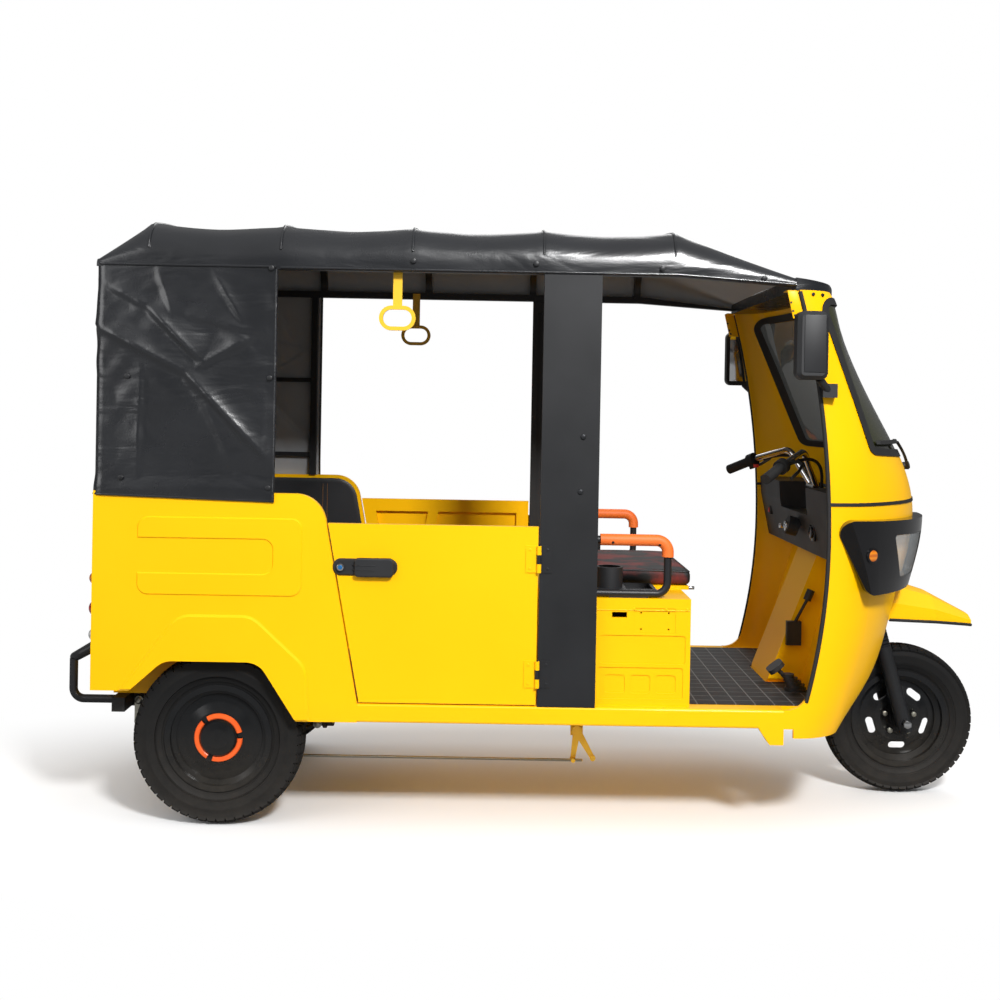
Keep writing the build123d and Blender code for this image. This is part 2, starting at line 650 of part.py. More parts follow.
# Half length of each leaf, longest on top
LEAF_TABLE = (SPRING_HALF, 215.0, 150.0, 90.0)
SPRING_PIN_D = 12.0
SHACKLE_PLATE = 5.0
AXLE_TUBE_D = 62.0
AXLE_Z = REAR_TYRE_D / 2
# Cross members: place along the frame, and reach to each side
CROSS_TABLE = ((-1318.0, 430.0), (-540.0, HALF_WIDTH - SILL_DEPTH), (70.0, HALF_WIDTH - SILL_DEPTH),
               (660.0, HALF_WIDTH - SILL_DEPTH), (915.0, RAIL_Y))
CROSS_HALF = 20.0
NECK_X = CROSS_TABLE[-1][0]
CRANK_X = 121.0
CRANK_Y = -300.0
CRANK_PIVOT_Z = 262.0


def neck():
    """The box beam that carries the head tube, from the front cross member upwards."""
    base = (NECK_X, FLOOR_Z - 24)
    head = STEER.from_local_coords(Vector(0, 0, HEAD_TUBE_SPAN[1] - 34))
    run = hypot(head.X - base[0], head.Z - base[1])
    across = Vector(-(head.Z - base[1]) / run, (head.X - base[0]) / run) * 22
    outline = polygon([(base[0] - across.X, base[1] - across.Y), (head.X - across.X, head.Z - across.Y),
                       (head.X + across.X, head.Z + across.Y), (base[0] + across.X, base[1] + across.Y)])
    return side_slab(outline, -26, 26)


def chassis_frame():
    """Two rails, cross members, the neck and the bored head tube."""
    half = RAIL_SIZE[0] / 2
    rail = block((TAIL_X + 36, NECK_X), (RAIL_Y - half, RAIL_Y + half), (RAIL_LOW_Z, FLOOR_Z))
    shape = rail + mirrored(rail)
    for x, reach in CROSS_TABLE:
        shape += block((x - CROSS_HALF, x + CROSS_HALF), (-reach, reach), (RAIL_LOW_Z + 6, FLOOR_Z))
    shape += neck() + steer_drum(HEAD_TUBE_D, *HEAD_TUBE_SPAN)
    bore = steer_drum(STEM_D + 2 * RUNNING_CLEARANCE, HEAD_TUBE_SPAN[0] - 5, HEAD_TUBE_SPAN[1] + 5)
    return shape - bore


def leaf_pack():
    """Stacked leaves on one centre, with rolled eyes at the ends of the top leaf."""
    sag = SPRING_EYE_Z - SPRING_TOP_Z
    radius = (SPRING_HALF**2 + sag**2) / (2 * sag)
    centre_z = SPRING_TOP_Z + radius
    pack = None
    for layer, half in enumerate(LEAF_TABLE):
        inner, outer = radius + layer * LEAF, radius + (layer + 1) * LEAF

        def on_arc(r, x):
            return (REAR_AXLE_X + x, centre_z - sqrt(r**2 - x**2))

        leaf = make_face([ThreePointArc(on_arc(inner, -half), on_arc(inner, 0), on_arc(inner, half)),
                          Line(on_arc(inner, half), on_arc(outer, half)),
                          ThreePointArc(on_arc(outer, half), on_arc(outer, 0), on_arc(outer, -half)),
                          Line(on_arc(outer, -half), on_arc(inner, -half))])
        slab = side_slab(leaf, -RAIL_Y - LEAF_WIDTH / 2, -RAIL_Y + LEAF_WIDTH / 2)
        pack = slab if pack is None else pack + slab
    width = (-RAIL_Y - LEAF_WIDTH / 2, -RAIL_Y + LEAF_WIDTH / 2)
    bore_d = SPRING_PIN_D + 2 * SEAT_GAP
    for x in (REAR_AXLE_X - SPRING_HALF, REAR_AXLE_X + SPRING_HALF):
        pack += rod((x, width[0], SPRING_EYE_Z), (x, width[1], SPRING_EYE_Z), SPRING_EYE_D)
        pack -= rod((x, width[0] - 1, SPRING_EYE_Z), (x, width[1] + 1, SPRING_EYE_Z), bore_d)
    return pack


def spring_shackle(x):
    """A pair of plates on a pin that hang one spring eye from its rail."""
    high_z = RAIL_LOW_Z + 20
    plate = Pos(x, (SPRING_EYE_Z + high_z) / 2) * SlotOverall(high_z - SPRING_EYE_Z + 26, 26, rotation=90)
    near = RAIL_SIZE[0] / 2 + SIDE_GAP
    far = near + SHACKLE_PLATE
    pin_half = far + 4
    shape = side_slab(plate, -RAIL_Y - far, -RAIL_Y - near) + side_slab(plate, -RAIL_Y + near, -RAIL_Y + far)
    return shape + rod((x, -RAIL_Y - pin_half, SPRING_EYE_Z), (x, -RAIL_Y + pin_half, SPRING_EYE_Z), SPRING_PIN_D)


def rear_axle():
    """Axle tube with its differential bulge, spring pads, brake back plates and spindles."""
    hub_in = REAR_TRACK / 2 - 48 - SIDE_GAP
    tube = rod((REAR_AXLE_X, -hub_in + 46, AXLE_Z), (REAR_AXLE_X, hub_in - 46, AXLE_Z), AXLE_TUBE_D)
    bulge = revolve(Plane.YZ * polygon([(-92, 0), (-92, 46), (-62, 96), (-20, 104), (20, 104), (62, 96),
                                        (92, 46), (92, 0)]), axis=Axis.Y)
    shape = tube + Pos(REAR_AXLE_X, 0, AXLE_Z) * bulge
    for side in (-1, 1):
        shape += rod((REAR_AXLE_X, side * (hub_in - 46), AXLE_Z), (REAR_AXLE_X, side * hub_in, AXLE_Z), 196)
        tip = side * (REAR_TRACK / 2 + 10)
        shape += rod((REAR_AXLE_X, side * hub_in, AXLE_Z), (REAR_AXLE_X, tip, AXLE_Z), SPINDLE_D)
        pad_y = sorted((side * (RAIL_Y - 24), side * (RAIL_Y + 24)))
        shape += block((REAR_AXLE_X - 44, REAR_AXLE_X + 44), pad_y, (SPRING_TOP_Z, AXLE_Z - 20))
    return shape - leaf_pack() - mirrored(leaf_pack()) + drive_motor()


def drive_motor():
    """The finned can of the motor, on the front of the differential."""
    face_x = REAR_AXLE_X + 90
    can = rod((face_x, 0, AXLE_Z), (face_x + 210, 0, AXLE_Z), 150)
    for rib in range(6):
        x = face_x + 26 + 30 * rib
        can += rod((x, 0, AXLE_Z), (x + 10, 0, AXLE_Z), 164)
    return can


def brake_crank():
    """A two-armed bell crank on a bracket under the right-hand rail."""
    arm = 12.0
    pivot = (CRANK_X, CRANK_PIVOT_Z)
    feet = ((CRANK_X - 12, CRANK_PIVOT_Z - 92), (CRANK_X + 52, CRANK_PIVOT_Z - 88))
    shape = rod((pivot[0], CRANK_Y - 9, pivot[1]), (pivot[0], CRANK_Y + 9, pivot[1]), 32)
    for x, z in feet:
        run = hypot(x - pivot[0], z - pivot[1])
        nx, nz = (z - pivot[1]) / run, -(x - pivot[0]) / run
        tip = 0.6 * arm
        outline = polygon([(pivot[0] + nx * arm, pivot[1] + nz * arm), (pivot[0] - nx * arm, pivot[1] - nz * arm),
                           (x - nx * tip, z - nz * tip), (x + nx * tip, z + nz * tip)])
        shape += side_slab(outline, CRANK_Y - 5, CRANK_Y + 5)
        shape += rod((x, CRANK_Y - 8, z), (x, CRANK_Y + 8, z), 18)
    bracket_z = (CRANK_PIVOT_Z - 18, RAIL_LOW_Z)
    return shape + block((CRANK_X - 20, CRANK_X + 20), (CRANK_Y + 9, CRANK_Y + 15), bracket_z)


def brake_rods():
    """The long rod to the right rear brake, the cross rod and its end at the crank."""
    foot = (CRANK_X - 12, CRANK_Y - 14, CRANK_PIVOT_Z - 92)
    drum = (REAR_AXLE_X + 60, -REAR_TRACK / 2 + 92 + 8, AXLE_Z - 86)
    long_rod = rod((foot[0] + 30, foot[1], foot[2]), drum, 8)
    eye = rod((foot[0], foot[1] + 6 - SEAT_GAP, foot[2]), (foot[0], foot[1] - 8, foot[2]), 14)
    lever = block((drum[0] - 8, drum[0] + 8), (drum[1] - 5, drum[1] + 5), (drum[2] - 10, drum[2] + 20))
    return long_rod + eye + lever


def add_running_gear():
    save("chassis_frame", chassis_frame())
    pieces = [leaf_pack(), *[spring_shackle(REAR_AXLE_X + side * SPRING_HALF) for side in (-1, 1)]]
    save("leaf_springs", both_sides(Compound(children=[solid for one in pieces for solid in one.solids()])))
    save("rear_axle", rear_axle())
    save("brake_linkage", Compound(children=[*brake_crank().solids(), *brake_rods().solids()]))
    save("fork", fork())
    save("fork_springs", fork_springs())
    save("handlebar", handlebar())
    save("handlebar_grips", handlebar_grips())
    front_at = Pos(FRONT_AXLE_X, 0, FRONT_TYRE_D / 2)
    save("front_tyre", front_at * tyre(FRONT_TYRE_D, FRONT_TYRE_WIDTH))
    save("front_rim", front_at * front_rim())
    right_at = Pos(REAR_AXLE_X, -REAR_TRACK / 2, AXLE_Z)
    # Name of each rear wheel piece, and its shape at the origin with the outside at negative Y
    rear_pieces = (("rear_tyre", tyre(REAR_TYRE_D, REAR_TYRE_WIDTH)),
                   ("rear_rim", rear_rim()),
                   ("hub_cap", hub_cap()))
    for name, shape in rear_pieces:
        right = right_at * shape
        save(f"{name}_right", right)
        save(f"{name}_left", mirrored(right))


# Roof: sections across the canopy, a frame of tubes and bows, and the leatherette skin

BOW_STEP = (CANOPY_FRONT_BOW_X - ROOF_TUBE - CANOPY_REAR_BOW_X) / (BOW_COUNT - 1)
RAIL_OUT = HALF_WIDTH - CANOPY_SKIN - 1
RAIL_IN = RAIL_OUT - ROOF_TUBE


def roof_section(x, hem, rise, skin, below):
    """A slice of the roof: upright hems, rounded shoulders and a low crown."""
    half = HALF_WIDTH - skin
    upright = hem + 0.22 * rise
    shoulder = (half - 0.6 * rise, hem + 0.84 * rise - skin)
    mid = (half - 0.14 * rise, hem + 0.62 * rise - 0.6 * skin)
    crown = (0, hem + rise - skin)
    lines = [Line((half, hem - below), (half, upright)),
             ThreePointArc((half, upright), mid, shoulder),
             ThreePointArc(shoulder, crown, (-shoulder[0], shoulder[1])),
             ThreePointArc((-shoulder[0], shoulder[1]), (-mid[0], mid[1]), (-half, upright)),
             Line((-half, upright), (-half, hem - below)),
             Line((-half, hem - below), (half, hem - below))]
    return Plane(origin=(x, 0, 0), x_dir=(0, 1, 0), z_dir=(1, 0, 0)) * make_face(lines)


def roof_solid(skin, below, tail_x, front_x):
    """The filled roof: a sloping tail, a level run between the end bows and a falling front."""
    tail = roof_section(tail_x, HEM_Z, CANOPY_TAIL_RISE, skin * CANOPY_TAIL_RISE / CROWN_RISE, below)
    rear = roof_section(CANOPY_REAR_BOW_X, HEM_Z, CROWN_RISE, skin, below)
    fore = roof_section(CANOPY_FRONT_BOW_X, HEM_Z, CROWN_RISE, skin, below)
    front = roof_section(front_x, CANOPY_FRONT_HEM_Z, CANOPY_FRONT_RISE, skin, below)
    level = extrude(rear, amount=CANOPY_FRONT_BOW_X - CANOPY_REAR_BOW_X)
    return loft([tail, rear], ruled=True) + level + loft([fore, front], ruled=True)


def canopy():
    """The skin with its side and rear curtains, open below and at the front."""
    inner_tail = TAIL_X + CANOPY_SKIN
    roof = roof_solid(0, 0, TAIL_X, CANOPY_FRONT_X)
    hollow = roof_solid(CANOPY_SKIN, 6, inner_tail, CANOPY_FRONT_X)
    skin = roof - hollow
    skin_y = (-HALF_WIDTH, -HALF_WIDTH + CANOPY_SKIN)
    side = block((TAIL_X, CURTAIN_FRONT_X), skin_y, (WAIST_Z, HEM_Z))
    rear = block((TAIL_X, inner_tail), (-HALF_WIDTH, HALF_WIDTH), (WAIST_Z, HEM_Z + CANOPY_TAIL_RISE / 3))
    return skin + side + mirrored(side) + rear


def roof_frame():
    """Side rails that dip to the cowl, posts at the curtains, and five bows."""
    rail = side_slab(polygon([(TAIL_X + 14, HEM_Z), (CANOPY_FRONT_BOW_X, HEM_Z),
                              (CANOPY_FRONT_X, CANOPY_FRONT_HEM_Z), (CANOPY_FRONT_X, CANOPY_FRONT_HEM_Z + RAIL_FRONT),
                              (CANOPY_FRONT_BOW_X, HEM_Z + ROOF_TUBE), (TAIL_X + 60, HEM_Z + ROOF_TUBE),
                              (TAIL_X + 14, HEM_Z + 8)]), -RAIL_OUT, -RAIL_IN)
    across = (-RAIL_OUT, -RAIL_IN)
    post_xs = (TAIL_X + 14, CURTAIN_FRONT_X - 34)
    for x in post_xs:
        rail += block((x, x + ROOF_TUBE), across, (WAIST_Z, HEM_Z))
    for z in (1095.0, 1380.0):
        rail += block((post_xs[0], post_xs[1]), (-RAIL_OUT, -RAIL_OUT + 14), (z, z + 16))
    frame = rail + mirrored(rail)
    for step in range(BOW_COUNT):
        low_x = CANOPY_REAR_BOW_X + step * BOW_STEP
        ring = roof_section(low_x, HEM_Z, CROWN_RISE, CANOPY_SKIN + 1, 0)
        ring -= roof_section(low_x, HEM_Z, CROWN_RISE, CANOPY_SKIN + 1 + ROOF_TUBE, 10)
        bow = extrude(ring, amount=ROOF_TUBE)
        frame += bow & block((low_x, low_x + ROOF_TUBE), (-HALF_WIDTH, HALF_WIDTH), (HEM_Z + 1, 3000))
    for z in (1095.0, 1380.0):
        frame += block((TAIL_X + 14, TAIL_X + 30), (-RAIL_OUT, RAIL_OUT), (z, z + 16))
    return frame


def visor():
    """The black brow above the windscreen: a wedge on top of the cowl that follows its plan."""
    tip_x = NOSE_TABLE[-1][1] + VISOR_REACH
    rear_z = CANOPY_FRONT_HEM_Z + CANOPY_FRONT_RISE - CANOPY_SKIN / 2
    wedge = side_slab(polygon([(CANOPY_FRONT_X, COWL_TOP_Z), (tip_x, COWL_TOP_Z), (tip_x, COWL_TOP_Z + VISOR_TIP),
                               (CANOPY_FRONT_X, rear_z)]), -2 * HALF_WIDTH, 2 * HALF_WIDTH)
    plan = extrude(nose_section(COWL_TOP_Z, tip_x, VISOR_INSET), amount=rear_z - COWL_TOP_Z + 1)
    return wedge & plan


def grab_handle():
    """A webbing strap under the roof rail with a moulded oval ring."""
    x, face_y, ring_z = -466.0, -RAIL_IN + SIDE_GAP, 1566.0
    strap = block((x - 14, x + 14), (face_y, face_y + 4), (ring_z + 30, HEM_Z + 20))
    oval = Pos(x, ring_z) * (SlotOverall(112, 76) - SlotOverall(88, 52))
    return strap + side_slab(oval, face_y - 4, face_y + 9)


def add_roof():
    save("roof_frame", roof_frame())
    save("canopy", canopy())
    save("visor", visor())
    save("grab_handles", both_sides(grab_handle()))


# Seats

ARM_Y = 477.0
ARM_TUBE_D = 24.0
ARM_FRONT_X = 379.0
ARM_TOP_Z = 897.0
ARM_BEND = 36.0
SEAT_BOX_Y = 500.0
SEAT_PLATE = 12.0
# Pressings in the side of the seat box: middle x, middle z, length, height, depth
BOX_PRESSINGS = ((304.0, 563.0, 262.0, 88.0, 3.0), (298.0, 460.0, 262.0, 97.0, 3.0))
PLATE_CENTRE = (340.0, 651.0)
PLATE_HOLES = (85.0, 50.0)
PLATE_HOLE_D = 6.0


def driver_seat_box():
    """A sheet-metal box across the cab with pressed sides, a bolting plate and a seat shelf."""
    front, top = SEAT_BOX_FRONT_X, SEAT_BOX_TOP_Z
    rear = PILLAR_REAR_X + 8
    box = block((rear, front), (-SEAT_BOX_Y, SEAT_BOX_Y), (SILL_HIGH_Z, top))
    hollow_y = SEAT_BOX_Y - SHEET
    box -= block((rear + SHEET, front - SHEET), (-hollow_y, hollow_y), (SILL_HIGH_Z - 1, top - SHEET))
    for x, z, length, height, depth in BOX_PRESSINGS:
        outline = Pos(x, z) * RectangleRounded(length, height, 9)
        press = side_slab(outline, -SEAT_BOX_Y - 1, -SEAT_BOX_Y + depth)
        box -= press
        box -= mirrored(press)
    for column in range(3):
        scallop = Pos(220 + 78 * column, 457) * RectangleRounded(62, 56, 10)
        box -= side_slab(scallop, -SEAT_BOX_Y, -SEAT_BOX_Y + 6)
    box -= side_slab(Pos(*PLATE_CENTRE) * RectangleRounded(128, 80, 6), -SEAT_BOX_Y - 1, -SEAT_BOX_Y + 2)
    for dx in (-0.5, 0.5):
        for dz in (-0.5, 0.5):
            x, z = PLATE_CENTRE[0] + dx * PLATE_HOLES[0], PLATE_CENTRE[1] + dz * PLATE_HOLES[1]
            box -= rod((x, -SEAT_BOX_Y - 2, z), (x, -SEAT_BOX_Y + SHEET + 2, z), PLATE_HOLE_D)
    box -= block((208, 254), (-SEAT_BOX_Y - 1, -SEAT_BOX_Y + SHEET + 1), (661, 678))
    return box + block((PILLAR_FRONT_X + 6, front + 24), (-292, 292), (top, top + SEAT_PLATE))


def arm_tube(points, diameter):
    """A bent tube in the upright plane of the right-hand armrest."""
    return bent_tube([(x, -ARM_Y, z) for x, z in points], diameter, ARM_BEND)


def armrest():
    """A bent tube on top of the seat box, with a foot and a bracket at the pillar."""
    low_z = SEAT_BOX_TOP_Z + ARM_TUBE_D / 2 + SIDE_GAP
    rear_x = PILLAR_FRONT_X - 18
    tube = arm_tube([(rear_x, low_z), (ARM_FRONT_X, low_z), (ARM_FRONT_X, ARM_TOP_Z), (rear_x, ARM_TOP_Z)], ARM_TUBE_D)
    tube += block((rear_x, rear_x + 16), (-SKIN_INSIDE, -ARM_Y), (ARM_TOP_Z - 9, ARM_TOP_Z + 9))
    return tube + block((200, 320), (-ARM_Y - 10, -ARM_Y + 10), (SEAT_BOX_TOP_Z, low_z))


def armrest_grip():
    points = [(PILLAR_FRONT_X + 12, ARM_TOP_Z), (ARM_FRONT_X, ARM_TOP_Z), (ARM_FRONT_X, ARM_TOP_Z - 50)]
    return arm_tube(points, ARM_TUBE_D + 12) - arm_tube(points, ARM_TUBE_D + 2 * SEAT_GAP)


def seat_tray():
    """A moulded tray beside the seat with a round cup holder at its rear end."""
    top = SEAT_BOX_TOP_Z
    tray = block((PILLAR_FRONT_X + 8, 350), (-452, -304), (top, top + 22))
    tray -= block((256, 340), (-442, -314), (top + 6, top + 30))
    cup = (206.0, -404.0)
    tray += rod((*cup, top), (*cup, top + 86), 84)
    return tray - rod((*cup, top + 8), (*cup, top + 90), 72)


def add_seats():
    save("driver_seat_box", driver_seat_box())
    seat_z = SEAT_BOX_TOP_Z + SEAT_PLATE + SIDE_GAP
    cushion = block((PILLAR_FRONT_X + 8, SEAT_BOX_FRONT_X + 34), (-288, 288), (seat_z, seat_z + 54))
    save("driver_seat_cushion", fillet(cushion.edges().filter_by(Axis.Z), 30))
    save("driver_armrests", both_sides(armrest()))
    save("armrest_grips", both_sides(armrest_grip()))
    save("seat_trays", both_sides(seat_tray()))
    bench_y = SKIN_INSIDE - SIDE_GAP
    rear = TAIL_X + PANEL
    base = block((rear, BENCH_FRONT_X), (-bench_y, bench_y), (BENCH_TOP_Z - SHEET, BENCH_TOP_Z))
    base += block((BENCH_FRONT_X - SHEET, BENCH_FRONT_X), (-bench_y, bench_y), (SILL_HIGH_Z, BENCH_TOP_Z))
    for side in (-1, 1):
        wall_y = sorted((side * WHEEL_HOUSE_Y, side * (WHEEL_HOUSE_Y + SHEET)))
        base += block((rear, BENCH_FRONT_X - SHEET), wall_y, (FLOOR_Z, BENCH_TOP_Z))
    save("rear_bench_base", base)
    inside = SKIN_INSIDE - 12
    low_z = BENCH_TOP_Z + SIDE_GAP
    seat = block((rear + 96, BENCH_FRONT_X + 14), (-inside, inside), (low_z, BENCH_TOP_Z + 96))
    save("rear_bench_cushion", fillet(seat.edges().filter_by(Axis.Y).group_by(Axis.Z)[-1], 26))
    back = block((rear + 30, rear + 92), (-inside, inside), (low_z, BACKREST_TOP_Z))
    back += block((rear + SIDE_GAP, rear + 31), (-inside, inside), (low_z, WAIST_Z))
    save("rear_backrest", fillet(back.edges().filter_by(Axis.Y).group_by(Axis.Z)[-1], 24))
    save("battery_pack", block((rear + 60, BENCH_FRONT_X - 70), (-230, 230), (SILL_HIGH_Z, BENCH_TOP_Z - 40)))


# Cab fittings

def front_bulkhead():
    """The sloping toe board with the pressed tunnel that covers the neck."""
    board = side_slab(polygon([(TOE_LOW_X, FLOOR_Z), (TOE_LOW_X, SILL_HIGH_Z), (TOE_TOP_X, DASH_LOW_Z),
                               (TOE_TOP_X + 9, DASH_LOW_Z), (TOE_LOW_X + 9, FLOOR_Z)]), -470, 470)
    side = polygon([(TUNNEL_LOW_X, SILL_HIGH_Z), (TOE_LOW_X, SILL_HIGH_Z), (TOE_TOP_X, DASH_LOW_Z),
                    (TUNNEL_LOW_X + 166, DASH_LOW_Z)])
    tunnel = side_slab(side, -TUNNEL_HALF, TUNNEL_HALF)
    tunnel = chamfer(tunnel.faces().sort_by(Axis.X)[0].edges().filter_by(Axis.Y, reverse=True), 14)
    return (board & nose_solid(COWL_WALL + 1)) + tunnel


def dashboard():
    """A moulded fascia wrapped by the cowl, with a well for the handlebar clamp and an ignition boss."""
    fascia = side_slab(polygon([(870, DASH_TOP_Z), (874, 985), (906, DASH_LOW_Z), (1012, DASH_LOW_Z),
                                (1012, DASH_TOP_Z)]), -HALF_WIDTH, HALF_WIDTH)
    well = side_slab(polygon([(800, 962), (1100, 948), (1100, 1100), (800, 1100)]), -192, 192)
    boss = rod((882, -40, 905), (846, -40, 915), 64)
    return (fascia & nose_solid(COWL_WALL + SIDE_GAP)) - well + boss


def lamp_layer(outer, inner, outline):
    """The right-hand lamp shell between two depths outside the cowl, within a side outline."""
    slab = side_slab(outline, -2 * HALF_WIDTH, -LAMP_INNER_Y)
    return (Pos(0, -LAMP_BULGE, 0) * nose_solid(-outer) & slab) - inner


def lamp_outline():
    past_x = BEAK_TIP_X
    face = polygon([LAMP_REAR_TOP, (past_x, LAMP_REAR_TOP[1] - 14), (past_x, LAMP_REAR_LOW[1]), LAMP_REAR_LOW])
    return fillet(face.vertices().sort_by(Axis.X)[:2], 40)


def lamp_bevel():
    """The space outside the sloping rear wall of the lamp shell, which leans in from the cowl's skin."""
    across = LAMP_REAR_LOW[0] - LAMP_REAR_TOP[0]
    down = LAMP_REAR_TOP[1] - LAMP_REAR_LOW[1]
    lean = Vector(-down, 0, -across).normalized() + Vector(0, -1, 0)
    plane = Plane(origin=(LAMP_REAR_TOP[0], -HALF_WIDTH - 2, LAMP_REAR_TOP[1]), z_dir=lean)
    reach = 2 * HALF_WIDTH
    return plane * Pos(0, 0, reach / 2) * Box(2 * reach, 2 * reach, reach)


def lens_outline():
    face = polygon([(1080, 926), (1236, 922), (1214, 790), (1116, 790)])
    return fillet(face.vertices(), 10)


def beak():
    """The fixed mudguard: a hollow hood that narrows and falls from the nose to its tip."""
    # Sections along the beak: place, half width, bottom and top
    table = ((1120.0, 176.0, 616.0, 758.0), (1330.0, 138.0, 604.0, 694.0), (BEAK_TIP_X, 84.0, 588.0, 622.0))

    def section(x, half, low, high):
        side_z = low + 0.45 * (high - low)
        brow = (0.62 * half, high - 0.12 * (high - low))
        far_brow = (-brow[0], brow[1])
        lines = [Line((half, low), (half - 2, side_z)), Line((half - 2, side_z), brow),
                 ThreePointArc(brow, (0, high), far_brow), Line(far_brow, (-half + 2, side_z)),
                 Line((-half + 2, side_z), (-half, low)), Line((-half, low), (half, low))]
        return Plane(origin=(x, 0, 0), x_dir=(0, 1, 0), z_dir=(1, 0, 0)) * make_face(lines)

    outer = loft([section(*row) for row in table], ruled=True)
    hollow_rows = [(x - (BEAK_WALL if x == BEAK_TIP_X else 0), half - BEAK_WALL, low - 12, high - BEAK_WALL)
                   for x, half, low, high in table]
    inner = loft([section(*row) for row in hollow_rows], ruled=True)
    return outer - inner - nose_solid(0)


def door_mirror():
    """The right-hand mirror: shell, stalk and foot on the windscreen post."""
    skin_y = -HALF_WIDTH
    shell = block((738, 832), (skin_y - 77, skin_y - 23), (1398, 1604))
    shell = fillet(shell.edges().filter_by(Axis.Y), 22)
    shell = chamfer(shell.faces().sort_by(Axis.Y)[0].edges(), 12)
    stalk = rod((812, skin_y - 45, 1402), (846, skin_y - 17, 1366), 24)
    foot = block((828, 872), (skin_y - 29, skin_y + 6), (1346, 1388)) - nose_solid(0)
    return shell + stalk + foot


def wiper():
    """An arm and blade that lie along the bottom of the windscreen, hugging its curve."""
    blade = nose_layer(-16, -6) & block((0, 2000), (-440, -150), (1204, 1216))
    arm_face = polygon([(-96, 1118), (-84, 1112), (-262, 1212), (-274, 1208)])
    arm = nose_layer(-22, -12) & front_slab(arm_face, 900, 1500)
    pivot = rod((1190, -90, 1116), (1244, -90, 1128), 26) - nose_solid(-SEAT_GAP)
    return blade + arm + pivot


def hand_lever():
    """The parking lever with its ratchet box on the right of the tunnel."""
    face_y = -TUNNEL_HALF - SEAT_GAP
    box = block((828, 876), (face_y - 22, face_y), (520, 600))
    lever = rod((852, face_y - 14, 590), (897, face_y - 20, 680), 10)
    knob = rod((893, face_y - 19.5, 672), (906, face_y - 21, 706), 26)
    return box + lever + knob


def brake_pedal():
    """A foot pedal on a bellows boot that stands on the mat."""
    mat_z = SILL_HIGH_Z + MAT_THICKNESS + SEAT_GAP
    x, y = 832.0, -262.0
    boot = rod((x, y, mat_z), (x, y, mat_z + 10), 70)
    for ring in range(4):
        low_z = mat_z + 9 + 11 * ring
        boot += rod((x - 8 * ring, y, low_z), (x - 8 * ring, y, low_z + 12), 60 - 7 * ring)
    arm = rod((x - 30, y, mat_z + 40), (x - 62, y, mat_z + 72), 14)
    pad = Pos(x - 66, y, mat_z + 76) * Rot(0, -38, 0) * fillet(Box(56, 70, 14).edges().filter_by(Axis.Z), 20)
    return boot + arm + pad


def add_cab():
    save("front_bulkhead", front_bulkhead())
    save("dashboard", dashboard())
    lens_slab = side_slab(lens_outline(), -2 * HALF_WIDTH, -LAMP_INNER_Y)
    housing = lamp_layer(LAMP_DEPTH, nose_solid(0), lamp_outline()) - lamp_bevel() - lens_slab
    lens = lamp_layer(LAMP_DEPTH - 2, nose_solid(-2), lens_outline())
    save("headlamp_housings", both_sides(housing))
    save("headlamp_lenses", both_sides(lens))
    save("front_mudguard", beak())
    save("mirrors", both_sides(door_mirror()))
    save("wiper", wiper())
    save("driver_controls", Compound(children=[*hand_lever().solids(), *brake_pedal().solids()]))


# Tail: bumper and lamps

BUMPER_X = -1485.0
BUMPER_D = 30.0
BUMPER_Z = 480.0
BUMPER_Y = 372.0
BUMPER_ARM_Z = 540.0
LAMP_Y = 440.0
# Tail lamps from the top: height and diameter
LAMP_TABLE = ((747.0, 52.0), (654.0, 60.0), (572.0, 52.0))


def rear_bumper():
    """A tube across the tail, turned up to the tub, on two legs from the frame."""
    upper = bent_tube([(TAIL_X, -BUMPER_Y, BUMPER_ARM_Z), (BUMPER_X, -BUMPER_Y, BUMPER_Z),
                       (BUMPER_X, BUMPER_Y, BUMPER_Z), (TAIL_X, BUMPER_Y, BUMPER_ARM_Z)], BUMPER_D, 48)
    upper -= block((TAIL_X, 0), (-HALF_WIDTH, HALF_WIDTH), (0, 900))
    leg_z = RAIL_LOW_Z + 30
    rear_face = CROSS_TABLE[0][0] - CROSS_HALF
    for y in (-RAIL_Y - 60, RAIL_Y + 60):
        leg = [(BUMPER_X + 6, y, BUMPER_Z), (BUMPER_X + 6, y, leg_z), (rear_face, y, leg_z)]
        upper += bent_tube(leg, BUMPER_D - 4, 34)
    return upper


def tail_lamp(z, diameter):
    """A round lamp with a flange and a domed lens."""
    radius = diameter / 2
    profile = polygon([(0, 0), (radius, 0), (radius, 10), (radius - 4, 14), (radius - 6, 26),
                       (radius - 12, 33), (0, 35)])
    turned = revolve(Plane.XZ * profile, axis=Axis.Z)
    return Pos(TAIL_X, -LAMP_Y, z) * Rot(0, -90, 0) * turned


def add_tail():
    save("rear_bumper", rear_bumper())
    lamps = [solid for row in LAMP_TABLE for solid in tail_lamp(*row).solids()]
    save("tail_lamps", both_sides(Compound(children=lamps)))


def main():
    add_tub()
    add_running_gear()
    add_cowl()
    add_roof()
    add_seats()
    add_cab()
    add_tail()
    os.makedirs("parts", exist_ok=True)
    for name, shape in PARTS.items():
        export_step(shape, f"parts/{name}.step")


main()
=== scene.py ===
import math

import bpy
from mathutils import Matrix, Vector, noise

